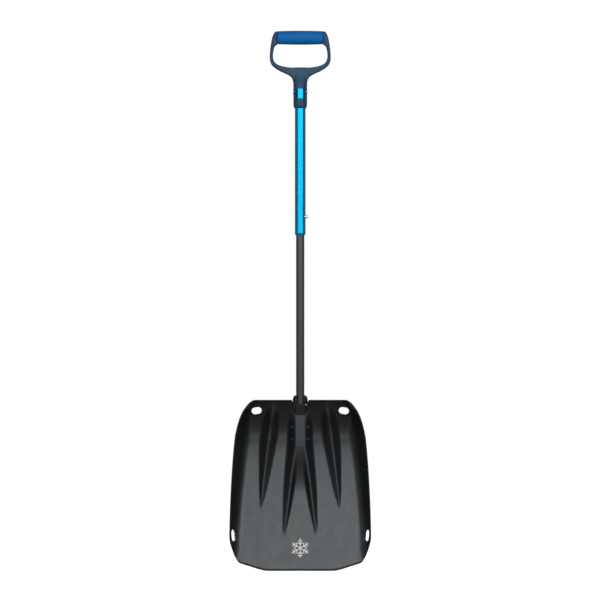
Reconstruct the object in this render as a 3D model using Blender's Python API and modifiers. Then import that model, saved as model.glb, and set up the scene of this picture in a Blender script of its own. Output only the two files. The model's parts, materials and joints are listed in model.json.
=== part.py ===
"""Avalanche shovel with a telescopic trapezoidal shaft and a D-grip.

Units are metres. +Z runs up the shaft, -Y is the scoop side and +X is the side of the lock buttons.
The origin is the middle of the cutting edge, straight below the axis of the shaft.
"""

import math

import bmesh
import bpy
from mathutils import Matrix, Vector

MM = 0.001
GAP = 0.3 * MM

# Shaft: a rounded trapezoid, wide at the back and narrow at the front.
SHAFT_BACK_HALF = 10.1 * MM
SHAFT_FRONT_HALF = 7.0 * MM
SHAFT_HALF_DEPTH = 13.0 * MM
SHAFT_CORNER = 4.0 * MM
TUBE_WALL = 1.2 * MM
LOWER_INSET = 2.1 * MM
UPPER_TUBE_FOOT = 601 * MM
UPPER_TUBE_TOP = 872 * MM
ROLLED_END = 4.5 * MM
LOWER_TUBE_FOOT = 230 * MM
LOWER_TUBE_TOP = 676 * MM

# Lock buttons.
SHAFT_LOCK_Z = 634 * MM
BLADE_LOCK_Z = 296 * MM
TELESCOPE_TRAVEL = 165 * MM
BUTTON_RADIUS = 2.8 * MM
LOCK_HOLE_RADIUS = 3.2 * MM
SHAFT_BUTTON_TIP = 13.4 * MM
BLADE_BUTTON_TIP = 12.2 * MM

# Blade.
BLADE_HEIGHT = 305 * MM
SHEET = 2.0 * MM
HUMP_END_Z = 222 * MM
HUMP_FRONT_Y = -15 * MM
NOTCH_Z = 277 * MM
NOTCH_HALF = 15.5 * MM
DEEPEST_Z = 230 * MM
DEEPEST_Y = 3 * MM
CUTTING_EDGE_Y = -37 * MM
SCOOP_CURVE = 1.35
LIP_RADIUS = 661 * MM
CURL_START_Z = 242 * MM
CURL_DEPTH = 28 * MM
RIM_Y = -41 * MM
WALL_CURVE = 2.6
CORNER_Z = 16.5 * MM
OUTER_RIB_HEIGHT = 13 * MM
OUTER_RIB_TIP_Z = 112 * MM
OUTER_RIB_FADE_Z = 272 * MM
OUTER_RIB_RISE = 0.85
INNER_RIB_RISE = 0.9
INNER_RIB_TIP_Z = 65 * MM
SIDE_HOLE_Y = -32.6 * MM
SIDE_HOLE_Z = 63 * MM
CREST_SHARE = 0.15
FOOT_SHARE = 0.6

# Socket behind the hump.
SOCKET_FOOT_Z = 226 * MM
SOCKET_WING_Z = 262 * MM
SOCKET_NECK_Z = 300 * MM
SOCKET_TOP_Z = 313 * MM
SOCKET_BACK_Y = 15.8 * MM
SOCKET_FRONT_Y = -13.4 * MM
EAR_HALF = 13.4 * MM
RIVET_ROWS = (256 * MM, 234 * MM)

# Grip.
STEM_FOOT = 829 * MM
STEM_WALL = 2.45 * MM
GRIP_PIN_Z = 858.5 * MM
GRIP_PIN_RADIUS = 2.5 * MM
BAR_Z = 955.8 * MM
BAR_RADIUS = 8.5 * MM
SLEEVE_RADIUS = 12.6 * MM
SLEEVE_HALF = 40.9 * MM
WINDOW_HALF = 7.0 * MM
WINDOW_LOW = 846.4 * MM
WINDOW_HIGH = 864.3 * MM


# ---------------------------------------------------------------- scene helpers


def clear_scene():
    for obj in list(bpy.data.objects):
        bpy.data.objects.remove(obj)


def new_collection(name):
    collection = bpy.data.collections.new(name)
    bpy.context.scene.collection.children.link(collection)
    return collection


def material(name, colour, roughness, metallic):
    made = bpy.data.materials.new(name)
    made.use_nodes = True
    shader = made.node_tree.nodes["Principled BSDF"]
    shader.inputs["Base Color"].default_value = (*colour, 1.0)
    shader.inputs["Roughness"].default_value = roughness
    shader.inputs["Metallic"].default_value = metallic
    made.diffuse_color = (*colour, 1.0)
    return made


def add_part(name, mesh, finish, origin=(0, 0, 0)):
    """Puts a mesh made in world space into the shovel, with its object's origin at a chosen point."""
    mesh.name = name
    mesh.transform(Matrix.Translation(-Vector(origin)))
    mesh.materials.clear()
    mesh.materials.append(finish)
    obj = bpy.data.objects.new(name, mesh)
    obj.location = origin
    PARTS.objects.link(obj)
    return obj


def add_cutter(name, mesh):
    obj = bpy.data.objects.new(name, mesh)
    obj.hide_render = True
    obj.display_type = "WIRE"
    CUTTERS.objects.link(obj)
    return obj


def boolean(obj, other, operation="DIFFERENCE"):
    modifier = obj.modifiers.new(other.name, "BOOLEAN")
    modifier.operation = operation
    modifier.object = other
    modifier.solver = "EXACT"


def shade_round(mesh, degrees=35):
    mesh.shade_smooth()
    mesh.set_sharp_from_angle(angle=math.radians(degrees))


# ---------------------------------------------------------------- shape helpers


def lerp(a, b, t):
    return a + (b - a) * t


def clamp(t):
    return min(1.0, max(0.0, t))


def smooth(t):
    t = clamp(t)
    return t * t * (3 - 2 * t)


def curve_through(points, at):
    """A smooth curve through a few (position, value) points, level with its neighbours at each."""
    if at <= points[0][0]:
        return points[0][1]
    for i in range(len(points) - 1):
        low, high = points[i], points[i + 1]
        if at <= high[0]:
            break
    else:
        return points[-1][1]
    before = points[max(i - 1, 0)]
    after = points[min(i + 2, len(points) - 1)]
    span = high[0] - low[0]
    slope_low = (high[1] - before[1]) / (high[0] - before[0])
    slope_high = (after[1] - low[1]) / (after[0] - low[0])
    t = (at - low[0]) / span
    return (
        (2 * t**3 - 3 * t**2 + 1) * low[1]
        + (t**3 - 2 * t**2 + t) * span * slope_low
        + (3 * t**2 - 2 * t**3) * high[1]
        + (t**3 - t**2) * span * slope_high
    )


def rounded(corners, radii, steps=4):
    """The points of a polygon whose corners are arcs."""
    points = []
    count = len(corners)
    for i, corner in enumerate(corners):
        here = Vector(corner)
        back = (Vector(corners[i - 1]) - here).normalized()
        ahead = (Vector(corners[(i + 1) % count]) - here).normalized()
        half = math.acos(max(-1.0, min(1.0, back.dot(ahead)))) / 2
        reach = radii[i] / math.tan(half)
        centre = here + (back + ahead).normalized() * radii[i] / math.sin(half)
        start = here + back * reach - centre
        end = here + ahead * reach - centre
        turn = start.angle_signed(end)
        for step in range(steps + 1):
            arm = start.copy()
            arm.rotate(Matrix.Rotation(-turn * step / steps, 2))
            points.append(centre + arm)
    return [(p.x, p.y) for p in points]


def spline(points, steps):
    """A smooth open line through a few points of the plane, with so many steps from each to the next."""
    line = []
    for i in range(len(points) - 1):
        start, end = Vector(points[i]), Vector(points[i + 1])
        before = Vector(points[i - 1]) if i else 2 * start - end
        after = Vector(points[i + 2]) if i + 2 < len(points) else 2 * end - start
        for step in range(steps):
            t = step / steps
            place = 2 * start + t * (end - before) + t**2 * (2 * before - 5 * start + 4 * end - after)
            line.append((place + t**3 * (3 * start - before - 3 * end + after)) / 2)
    line.append(Vector(points[-1]))
    return [(p.x, p.y) for p in line]


def shaft_outline(inset=0.0, steps=3):
    """The shaft's section, moved inwards by inset, or outwards where it is negative."""
    lean = (SHAFT_BACK_HALF - SHAFT_FRONT_HALF) / (2 * SHAFT_HALF_DEPTH)
    across = inset * math.hypot(1, lean)
    back_y = SHAFT_HALF_DEPTH - inset
    back = SHAFT_BACK_HALF - lean * inset - across
    front = SHAFT_FRONT_HALF + lean * inset - across
    corners = [(back, back_y), (-back, back_y), (-front, -back_y), (front, -back_y)]
    return rounded(corners, [max(SHAFT_CORNER - inset, 0.8 * MM)] * 4, steps)


def shaft_side(y, inset=0.0):
    """The half-width of the flat side of that section at a depth y."""
    lean = (SHAFT_BACK_HALF - SHAFT_FRONT_HALF) / (2 * SHAFT_HALF_DEPTH)
    return SHAFT_FRONT_HALF + lean * (y + SHAFT_HALF_DEPTH) - inset * math.hypot(1, lean)


def extruded(loops, low, high, edge=0.0):
    """A flat outline, with any inner loops as holes, extruded along Z, with rounded edges if asked."""
    curve = bpy.data.curves.new("outline", "CURVE")
    curve.dimensions = "2D"
    curve.fill_mode = "BOTH"
    curve.extrude = (high - low) / 2 - edge
    curve.bevel_depth = edge
    curve.bevel_resolution = 1
    curve.offset = -edge
    for loop in loops:
        spline = curve.splines.new("POLY")
        spline.points.add(len(loop) - 1)
        for point, place in zip(spline.points, loop):
            point.co = (*place, 0, 1)
        spline.use_cyclic_u = True
    return mesh_of_curve(curve, Matrix.Translation((0, 0, (low + high) / 2)))


def mesh_of_curve(curve, place):
    obj = bpy.data.objects.new("curve", curve)
    bpy.context.scene.collection.objects.link(obj)
    graph = bpy.context.evaluated_depsgraph_get()
    mesh = bpy.data.meshes.new_from_object(obj.evaluated_get(graph))
    mesh.shade_flat()
    bpy.data.objects.remove(obj)
    shape = bmesh.new()
    shape.from_mesh(mesh)
    bmesh.ops.remove_doubles(shape, verts=shape.verts, dist=0.001 * MM)
    bmesh.ops.recalc_face_normals(shape, faces=shape.faces)
    shape.to_mesh(mesh)
    shape.free()
    mesh.transform(place)
    return mesh


def loft(rings, capped=True):
    """A skin over rings of as many points each, closed round each ring."""
    shape = bmesh.new()
    rows = [[shape.verts.new(point) for point in ring] for ring in rings]
    count = len(rows[0])
    for low, high in zip(rows, rows[1:]):
        for i in range(count):
            j = (i + 1) % count
            shape.faces.new((low[i], low[j], high[j], high[i]))
    if capped:
        shape.faces.new(rows[0])
        shape.faces.new(rows[-1])
    bmesh.ops.recalc_face_normals(shape, faces=shape.faces)
    return mesh_of(shape)


def mesh_of(shape):
    mesh = bpy.data.meshes.new("shape")
    shape.to_mesh(mesh)
    shape.free()
    return mesh


def box(low, high):
    shape = bmesh.new()
    size = [b - a for a, b in zip(low, high)]
    middle = [(a + b) / 2 for a, b in zip(low, high)]
    place = Matrix.Translation(middle) @ Matrix.Diagonal((*size, 1))
    bmesh.ops.create_cube(shape, size=1, matrix=place)
    return mesh_of(shape)


def rod(start, end, radius, sides=20, end_radius=None):
    """A round bar, or a cone, between two points."""
    shape = bmesh.new()
    along = Vector(end) - Vector(start)
    place = Matrix.Translation((Vector(start) + Vector(end)) / 2)
    place @= along.to_track_quat("Z", "Y").to_matrix().to_4x4()
    bmesh.ops.create_cone(
        shape,
        cap_ends=True,
        segments=sides,
        radius1=radius,
        radius2=radius if end_radius is None else end_radius,
        depth=along.length,
        matrix=place,
    )
    return mesh_of(shape)


def turned(profile, place, sides=24):
    """A profile of (radius, height) points turned about its own axis, then put in place."""
    shape = bmesh.new()
    points = [shape.verts.new((r, 0, z)) for r, z in profile]
    for a, b in zip(points, points[1:]):
        shape.edges.new((a, b))
    bmesh.ops.spin(
        shape,
        geom=shape.verts[:] + shape.edges[:],
        axis=(0, 0, 1),
        cent=(0, 0, 0),
        steps=sides,
        angle=math.tau,
        use_merge=True,
    )
    bmesh.ops.remove_doubles(shape, verts=shape.verts, dist=0.001 * MM)
    bmesh.ops.recalc_face_normals(shape, faces=shape.faces)
    mesh = mesh_of(shape)
    mesh.transform(place)
    return mesh


def slot_cutter(name, centre, length, width, direction, lean):
    """A prism with round ends, along direction, turned by lean about it."""
    half = length / 2
    corners = [(half, width / 2), (-half, width / 2), (-half, -width / 2), (half, -width / 2)]
    outline = rounded(corners, [width / 2 * 0.98] * 4, 5)
    mesh = extruded([outline], -35 * MM, 35 * MM)
    turn = Vector(direction).to_track_quat("Z", "Y").to_matrix().to_4x4()
    mesh.transform(Matrix.Translation(centre) @ turn @ Matrix.Rotation(lean, 4, "Z"))
    return add_cutter(name, mesh)


# ---------------------------------------------------------------- blade


def points_mm(*pairs):
    return [(a * MM, b * MM) for a, b in sorted(pairs)]


# Half-widths of the lines that the pressing follows, as (height, half-width) points in millimetres.
RIM = points_mm(
    (16.5, 111.5), (27, 117.5), (53, 125.4), (75, 126), (150, 123.2), (233, 117),
    (261, 111.4), (283, 103.2), (297, 93.4), (303, 86.6), (305, 82),
)
WALL_LINE = points_mm((0, 100), (35, 102), (107, 100), (179, 93), (233, 85), (283, 74), (305, 64))
OUTER_RIB_OUTSIDE = points_mm(
    (0, 82), (90, 77), (112, 73), (143, 74.5), (215, 75.5), (250, 73.5), (276, 68), (290, 61), (305, 53)
)
OUTER_RIB_CREST = points_mm((0, 70), (112, 70.3), (305, 46.8))
OUTER_RIB_INSIDE = points_mm(
    (0, 58), (90, 64), (112, 67.5), (143, 58.3), (215, 42.5), (250, 36), (283, 35.5), (305, 41)
)
INNER_RIB_OUTSIDE = points_mm((0, 37), (65, 33), (107, 32), (143, 31.5), (215, 26.5), (240, 25), (305, 25))
INNER_RIB_CREST = points_mm((0, 29), (65, 28), (146, 18.5), (190, 12.8), (222, 7.9), (240, 7.7), (305, 7.7))
INNER_RIB_INSIDE = points_mm((0, 18), (65, 24), (114, 14.5), (179, 4.5), (222, 2.5), (305, 3.5))
CUTTING_EDGE = points_mm((0, -0.6), (60, -0.6), (69, 1.5), (89, 7.5), (108, 13.5), (112, 16.5))

LINES = (
    INNER_RIB_INSIDE,
    INNER_RIB_CREST,
    INNER_RIB_OUTSIDE,
    OUTER_RIB_INSIDE,
    OUTER_RIB_CREST,
    OUTER_RIB_OUTSIDE,
    WALL_LINE,
    RIM,
)
FLANK_OUT = (CREST_SHARE, 0.38, FOOT_SHARE, 0.8, 1.0)
FLANK_IN = (0.2, 1 - FOOT_SHARE, 0.62, 1 - CREST_SHARE, 1.0)
# Where the columns of the grid lie between one line and the next.
SPACING = (
    (1.0,),
    FLANK_IN,
    FLANK_OUT,
    (0.5, 1.0),
    FLANK_IN,
    FLANK_OUT,
    (0.5, 1.0),
    (0.25, 0.5, 0.75, 1.0),
)
BLADE_ROWS = 34
ROW_CROWDING = 1.25


def blade_columns():
    """The columns of one half as (line index, share of the way from the line before it)."""
    return [(0, 0.0)] + [(i, share) for i, shares in enumerate(SPACING) for share in shares]


def column_x(column, z):
    index, share = column
    inner = curve_through(LINES[index - 1], z) if index else 0.0
    return lerp(inner, curve_through(LINES[index], z), share)


def flank(t):
    """A rib's height from its crest, t = 0, to its foot, t = 1: a tight crest, a straight flank, a round foot."""
    t = clamp(t)
    slope = 1 / (CREST_SHARE / 2 + FOOT_SHARE - CREST_SHARE + (1 - FOOT_SHARE) / 2)
    if t < CREST_SHARE:
        return 1 - slope * t * t / (2 * CREST_SHARE)
    if t < FOOT_SHARE:
        return 1 - slope * (t - CREST_SHARE / 2)
    return slope * (1 - t) ** 2 / (2 * (1 - FOOT_SHARE))


def curl(z):
    share = max(0.0, (z - CURL_START_Z) / (BLADE_HEIGHT - CURL_START_Z))
    return CURL_DEPTH * share**2


def scoop_y(z):
    """The blade's long section: nearly straight below its deepest point, and slightly hollow above it."""
    if z > DEEPEST_Z:
        return DEEPEST_Y - (z - DEEPEST_Z) ** 2 / (2 * LIP_RADIUS)
    return lerp(DEEPEST_Y, CUTTING_EDGE_Y, (1 - z / DEEPEST_Z) ** SCOOP_CURVE)


def wall_depth(x, z):
    start = curve_through(WALL_LINE, z)
    width = max(curve_through(RIM, z) - start, 0.1 * MM)
    full = (scoop_y(z) - RIM_Y) * clamp((z - CORNER_Z) / (30 * MM))
    return full * clamp((x - start) / width) ** WALL_CURVE


def inner_rib(x, z):
    crest = curve_through(INNER_RIB_CREST, z)
    if z >= HUMP_END_Z:
        height = max(0.0, scoop_y(z) - curl(z) - HUMP_FRONT_Y)
    else:
        full = scoop_y(HUMP_END_Z) - HUMP_FRONT_Y
        height = full * clamp((z - INNER_RIB_TIP_Z) / (HUMP_END_Z - INNER_RIB_TIP_Z)) ** INNER_RIB_RISE
    if x >= crest:
        outside = curve_through(INNER_RIB_OUTSIDE, z)
        return height * flank((x - crest) / (outside - crest))
    inside = curve_through(INNER_RIB_INSIDE, z)
    valley = smooth((HUMP_END_Z - z) / (50 * MM))
    return height * (1 - valley + valley * flank((crest - x) / (crest - inside)))


def outer_rib(x, z):
    share = clamp((z - OUTER_RIB_TIP_Z) / (233 * MM - OUTER_RIB_TIP_Z))
    fade = (z - OUTER_RIB_FADE_Z) / (BLADE_HEIGHT - OUTER_RIB_FADE_Z)
    height = OUTER_RIB_HEIGHT * share**OUTER_RIB_RISE * (1 - smooth(fade))
    crest = curve_through(OUTER_RIB_CREST, z)
    line = OUTER_RIB_OUTSIDE if x >= crest else OUTER_RIB_INSIDE
    edge = curve_through(line, z)
    return height * flank((x - crest) / (edge - crest))


def blade_y(x, z):
    """The middle of the sheet's thickness at a half-width x and a height z."""
    rise = (curl(z) ** 4 + wall_depth(x, z) ** 4) ** 0.25
    return scoop_y(z) - rise - inner_rib(x, z) - outer_rib(x, z)


def blade_point(column, row):
    bottom = curve_through(CUTTING_EDGE, column_x(column, 12 * MM))
    reference = column_x(column, 290 * MM)
    crest = curve_through(INNER_RIB_CREST, NOTCH_Z)
    top = lerp(NOTCH_Z, BLADE_HEIGHT, smooth((reference - crest) / (NOTCH_HALF - crest)))
    share = 1 - (1 - row / BLADE_ROWS) ** ROW_CROWDING
    z = lerp(bottom, top, share)
    x = column_x(column, z)
    return x, blade_y(x, z), z


def blade_sheet():
    """A grid whose columns run along the lines of the pressing."""
    columns = blade_columns()
    across = len(columns) - 1
    shape = bmesh.new()
    bmesh.ops.create_grid(shape, x_segments=2 * across, y_segments=BLADE_ROWS, size=1)
    for vert in shape.verts:
        place = round(vert.co.x * across)
        row = round((vert.co.y + 1) / 2 * BLADE_ROWS)
        x, y, z = blade_point(columns[abs(place)], row)
        vert.co = (math.copysign(x, place), y, z)
    bmesh.ops.recalc_face_normals(shape, faces=shape.faces)
    return mesh_of(shape)


def make_blade(finish):
    blade = add_part("blade", blade_sheet(), finish)
    shell = blade.modifiers.new("sheet", "SOLIDIFY")
    shell.thickness = SHEET
    shell.offset = 0
    shell.use_even_offset = True
    boolean(blade, add_cutter("edge_trim", box((-0.2, -0.1, -0.03), (0.2, 0.1, 0))))
    for side, name in ((1, "right"), (-1, "left")):
        top = (side * 78.3 * MM, -20 * MM, 286.2 * MM)
        lean = math.radians(15) * side
        boolean(blade, slot_cutter(f"top_hole_{name}", top, 18.8 * MM, 11.8 * MM, (0, -1, 0), lean))
        boolean(blade, side_hole(f"side_hole_{name}", (side * 122 * MM, SIDE_HOLE_Y, SIDE_HOLE_Z), side))
    for index, (start, along) in enumerate(rivet_places()):
        hole = rod(start - along * 8 * MM, start + along * 4 * MM, 2.3 * MM, 16)
        boolean(blade, add_cutter(f"rivet_hole_{index + 1}", hole))
    return blade


def side_hole(name, centre, side):
    """A prism along X through one of the side walls, taller than it is deep and nearly in line with the sheet."""
    half_height, half_depth = 10.8 * MM, 4.9 * MM
    corners = [
        (half_height, half_depth),
        (-half_height, half_depth),
        (-half_height, -half_depth),
        (half_height, -half_depth),
    ]
    mesh = extruded([rounded(corners, [half_depth * 0.98] * 4, 5)], -14 * MM, 14 * MM)
    turn = Matrix(((0, 0, side, 0), (0, side, 0, 0), (-1, 0, 0, 0), (0, 0, 0, 1)))
    mesh.transform(Matrix.Translation(centre) @ Matrix.Rotation(math.radians(-6), 4, "X") @ turn)
    return add_cutter(name, mesh)


def rivet_places():
    """Where each rivet's axis meets the middle of the sheet on a flank of the hump, and the way into the hump."""
    places = []
    for side in (1, -1):
        for z in RIVET_ROWS:
            x = 13.6 * MM
            step = 0.5 * MM
            across = (blade_y(x + step, z) - blade_y(x - step, z)) / (2 * step)
            up = (blade_y(x, z + step) - blade_y(x, z - step)) / (2 * step)
            inward = Vector((-side * across, 1, -up)).normalized()
            places.append((Vector((side * x, blade_y(x, z), z)), inward))
    return places


def make_rivets(finish):
    """Low-headed rivets, each with a head on the sheet and a shank in the socket."""
    for index, (start, along) in enumerate(rivet_places()):
        head = SHEET / 2 + 1.5 * GAP
        profile = [
            (0, -head - 1.5 * MM),
            (1.8 * MM, -head - 1.3 * MM),
            (3.0 * MM, -head - 0.7 * MM),
            (3.4 * MM, -head),
            (2.0 * MM, -head),
            (2.0 * MM, 3.6 * MM),
            (0, 3.6 * MM),
        ]
        place = Matrix.Translation(start) @ along.to_track_quat("Z", "Y").to_matrix().to_4x4()
        mesh = turned(profile, place, 16)
        shade_round(mesh)
        add_part(f"socket_rivet_{index + 1}", mesh, finish)


# ---------------------------------------------------------------- socket


def mirrored_outline(right):
    """A closed outline from the (x, y) points in millimetres of its right half, front to back."""
    half = [(x * MM, y * MM) for x, y in right]
    return half + [(-x, y) for x, y in reversed(half)]


def socket_block():
    """The moulding's lower part, shaped to the inside of the hump, with a wing at each side."""
    right = [
        (6.6, -13.4), (9.0, -11.2), (12.4, -6.2), (15.2, -1.2), (17.6, 2.6), (20.5, 4.5),
        (25.8, 4.6), (27, 5.6), (26.2, 7.4), (19, 8.4), (15.4, 10.2), (13.9, 13.6), (12.1, 15.8),
    ]
    return extruded([mirrored_outline(right)], SOCKET_FOOT_Z, SOCKET_WING_Z)


def socket_neck():
    """The sleeve above the wings. Its front stands in the blade's notch."""
    right = [
        (6.6, -13.4), (9.0, -11.2), (10.6, -6.2), (12.0, -1.2), (13.2, 4.4), (13.2, 13.4), (12.5, 15.1), (10.8, 15.8),
    ]
    return extruded([mirrored_outline(right)], SOCKET_WING_Z - 3 * MM, SOCKET_NECK_Z)


def socket_ears():
    """The collar above the neck, rounded in at its top."""
    corners = [(EAR_HALF, 15.8 * MM), (-EAR_HALF, 15.8 * MM), (-EAR_HALF, -11 * MM), (EAR_HALF, -11 * MM)]
    full = rounded(corners, [5 * MM] * 4, 5)
    # How far the collar is drawn in at each height above the neck, in millimetres.
    profile = ((-2, 1.4), (0, 0.3), (1.5, 0), (4.5, 0), (7, 0.7), (10, 2.1), (12.2, 3.7), (13, 4.6))
    rings = []
    for above, drawn_in in profile:
        narrow, shallow = 1 - drawn_in * MM / EAR_HALF, 1 - drawn_in * MM / SOCKET_BACK_Y
        rings.append([(x * narrow, y * shallow, SOCKET_NECK_Z + above * MM) for x, y in full])
    return loft(rings)


def socket_gusset(side):
    """A rib that carries the load from a wing up into the neck."""
    low, top, inner, outer = 255 * MM, 291 * MM, 12 * MM, 25.4 * MM
    corners = [(side * inner, low), (side * outer, low), (side * outer, SOCKET_WING_Z), (side * inner, top)]
    mesh = extruded([corners], -7.2 * MM, -4.8 * MM)
    mesh.transform(Matrix.Rotation(math.radians(90), 4, "X"))
    return mesh


def make_socket(finish):
    socket = add_part("blade_socket", socket_block(), finish)
    boolean(socket, add_cutter("socket_neck", socket_neck()), "UNION")
    boolean(socket, add_cutter("socket_ears", socket_ears()), "UNION")
    for side, name in ((1, "right"), (-1, "left")):
        boolean(socket, add_cutter(f"socket_gusset_{name}", socket_gusset(side)), "UNION")
    bore = extruded([shaft_outline(LOWER_INSET - 0.35 * MM)], LOWER_TUBE_FOOT - 0.4 * MM, 330 * MM)
    boolean(socket, add_cutter("socket_bore", bore))
    drain = rod((0, 0, 210 * MM), (0, 0, 240 * MM), 4 * MM)
    boolean(socket, add_cutter("socket_drain", drain))
    front = box((-8.2 * MM, -30 * MM, 298.5 * MM), (8.2 * MM, -8.6 * MM, 330 * MM))
    boolean(socket, add_cutter("socket_front_cut", front))
    window = box((8.9 * MM, -30 * MM, 290 * MM), (30 * MM, 6 * MM, 302.5 * MM))
    boolean(socket, add_cutter("finger_window", window))
    hole = rod((0, 0, BLADE_LOCK_Z), (30 * MM, 0, BLADE_LOCK_Z), LOCK_HOLE_RADIUS, 24)
    boolean(socket, add_cutter("socket_lock_hole", hole))
    for index in range(4):
        z = (281.5 + 4 * index) * MM
        groove = box((-9 * MM, -14 * MM, z), (9 * MM, -12.5 * MM, z + 1.6 * MM))
        boolean(socket, add_cutter(f"front_groove_{index + 1}", groove))
    for index, (start, along) in enumerate(rivet_places()):
        hole = rod(start, start + along * 4.2 * MM, 2.3 * MM, 16)
        boolean(socket, add_cutter(f"rivet_seat_{index + 1}", hole))
    return socket


# ---------------------------------------------------------------- shaft


def lock_hole(name, z):
    start, end = (2 * MM, 0, z), (30 * MM, 0, z)
    return add_cutter(name, rod(start, end, LOCK_HOLE_RADIUS, 24))


def make_lower_tube(finish):
    outer, inner = shaft_outline(LOWER_INSET), shaft_outline(LOWER_INSET + TUBE_WALL)
    mesh = extruded([outer, inner], LOWER_TUBE_FOOT, LOWER_TUBE_TOP)
    shade_round(mesh)
    tube = add_part("lower_tube", mesh, finish, (0, 0, LOWER_TUBE_FOOT))
    boolean(tube, lock_hole("lower_hole_high", SHAFT_LOCK_Z))
    boolean(tube, lock_hole("lower_hole_low", BLADE_LOCK_Z))
    return tube


def make_upper_tube(finish):
    """A shell whose lower end is rolled in towards the lower tube."""
    foot = UPPER_TUBE_FOOT
    stations = (
        (foot, 1.15 * MM),
        (foot + 0.35 * ROLLED_END, 0.75 * MM),
        (foot + 0.7 * ROLLED_END, 0.25 * MM),
        (foot + ROLLED_END, 0.0),
        (UPPER_TUBE_TOP, 0.0),
    )
    outer = [[(x, y, z) for x, y in shaft_outline(inset)] for z, inset in stations]
    inner = [[(x, y, z) for x, y in shaft_outline(tube_bore(inset))] for z, inset in stations]
    mesh = loft(outer + inner[::-1] + outer[:1], capped=False)
    weld(mesh)
    shade_round(mesh)
    tube = add_part("upper_tube", mesh, finish, (0, 0, foot))
    boolean(tube, lock_hole("upper_hole_low", SHAFT_LOCK_Z))
    boolean(tube, lock_hole("upper_hole_high", SHAFT_LOCK_Z + TELESCOPE_TRAVEL))
    boolean(tube, grip_pin_hole("tube_pin_hole"))
    return tube


def tube_bore(inset):
    """How far in the upper tube's bore is: it never comes nearer the lower tube than its clearance."""
    return min(inset + TUBE_WALL, LOWER_INSET - 0.35 * MM)


def weld(mesh):
    shape = bmesh.new()
    shape.from_mesh(mesh)
    bmesh.ops.remove_doubles(shape, verts=shape.verts, dist=0.001 * MM)
    bmesh.ops.recalc_face_normals(shape, faces=shape.faces)
    shape.to_mesh(mesh)
    shape.free()


def make_plugs(finish):
    stem = shaft_outline(LOWER_INSET + TUBE_WALL + GAP)
    head = shaft_outline(TUBE_WALL + GAP)
    shoulder = LOWER_TUBE_TOP + GAP
    rings = [
        (shoulder - 16 * MM, stem),
        (shoulder, stem),
        (shoulder, head),
        (shoulder + 6 * MM, head),
        (shoulder + 8 * MM, shaft_outline(TUBE_WALL + GAP + 1.5 * MM)),
    ]
    mesh = loft([[(x, y, z) for x, y in outline] for z, outline in rings])
    add_part("guide_plug", mesh, finish, (0, 0, shoulder))
    foot = LOWER_TUBE_FOOT
    rings = [
        (foot + 0.2 * MM, shaft_outline(LOWER_INSET + TUBE_WALL + GAP + 0.6 * MM)),
        (foot + 1.2 * MM, stem),
        (foot + 13 * MM, stem),
    ]
    mesh = loft([[(x, y, z) for x, y in outline] for z, outline in rings])
    add_part("foot_plug", mesh, finish, (0, 0, foot))


def make_button(name, z, tip, finish):
    """A flanged pin with a domed tip, pointing along +X."""
    flange = 3.7 * MM
    profile = [
        (0, flange),
        (3.8 * MM, flange),
        (3.8 * MM, flange + 0.8 * MM),
        (BUTTON_RADIUS, flange + 0.8 * MM),
        (BUTTON_RADIUS, tip - 1.8 * MM),
        (0.85 * BUTTON_RADIUS, tip - 0.8 * MM),
        (0.5 * BUTTON_RADIUS, tip - 0.2 * MM),
        (0, tip),
    ]
    place = Matrix.Translation((0, 0, z)) @ Matrix.Rotation(math.radians(90), 4, "Y")
    mesh = turned(profile, place, 24)
    shade_round(mesh)
    add_part(name, mesh, finish, (0, 0, z))


def make_spring(name, z, finish):
    """A leaf bent to a hairpin: one leg stands behind the button and the other rests on the tube's far wall."""
    right, left, reach, width = 3.1 * MM, -4.35 * MM, 42 * MM, 7 * MM
    middle, radius = (right + left) / 2, (right - left) / 2
    path = [(right, z + 5 * MM), (right, z - reach)]
    bends = 8
    for step in range(1, bends):
        turn = math.pi * step / bends
        path.append((middle + radius * math.cos(turn), z - reach - radius * math.sin(turn)))
    path += [(left, z - reach), (left, z + 5 * MM)]
    shape = bmesh.new()
    front = [shape.verts.new((x, -width / 2, height)) for x, height in path]
    back = [shape.verts.new((x, width / 2, height)) for x, height in path]
    for i in range(len(path) - 1):
        shape.faces.new((front[i], front[i + 1], back[i + 1], back[i]))
    spring = add_part(name, mesh_of(shape), finish, (0, 0, z))
    shell = spring.modifiers.new("leaf", "SOLIDIFY")
    shell.thickness = 0.5 * MM
    shell.offset = 0


# ---------------------------------------------------------------- grip


def frame_outline():
    """The grip's frame from the side of its bar, round the hand opening and down to the stem."""
    outside = [
        (41.3, 967.2), (45.6, 965.3), (48.6, 959.8), (50.9, 952), (53.6, 935), (54.5, 920), (53.2, 911.5),
        (48.8, 904.6), (38, 897), (24, 890.4), (16.6, 885.6), (13.4, 880), (11.8, 873), (10.4, 866),
    ]
    inside = [
        (41.3, 943.2), (44.6, 942), (47, 938), (48.9, 929.5), (49, 919.5), (46.4, 912.2), (40, 906.8),
        (28, 903.2), (14, 901.6), (0, 901.2),
    ]
    right = spline([(x * MM, z * MM) for x, z in reversed(inside)], 2)[1:]
    right += spline([(x * MM, z * MM) for x, z in outside], 2)
    return [(0, inside[-1][1] * MM)] + right + [(-x, z) for x, z in reversed(right)]


def frame_depth(z):
    """Half the depth of the grip's frame at a height."""
    return curve_through(points_mm((866, 8.5), (885, 8.5), (900, 8.3), (925, 8), (944, 9.2), (957, 9.8), (968, 9.2)), z)


def grip_frame():
    half = 8 * MM
    mesh = extruded([frame_outline()], -half, half, 2.4 * MM)
    mesh.transform(Matrix.Rotation(math.radians(90), 4, "X"))
    for vert in mesh.vertices:
        vert.co.y *= frame_depth(vert.co.z) / half
    return mesh


def bar_end(name, side):
    """A cone between the end of the sleeve and the frame's arm."""
    start, end = (side * (SLEEVE_HALF + GAP), 0, BAR_Z), (side * 47 * MM, 0, BAR_Z)
    return add_cutter(name, rod(start, end, 12 * MM, 28, 8.4 * MM))


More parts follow.
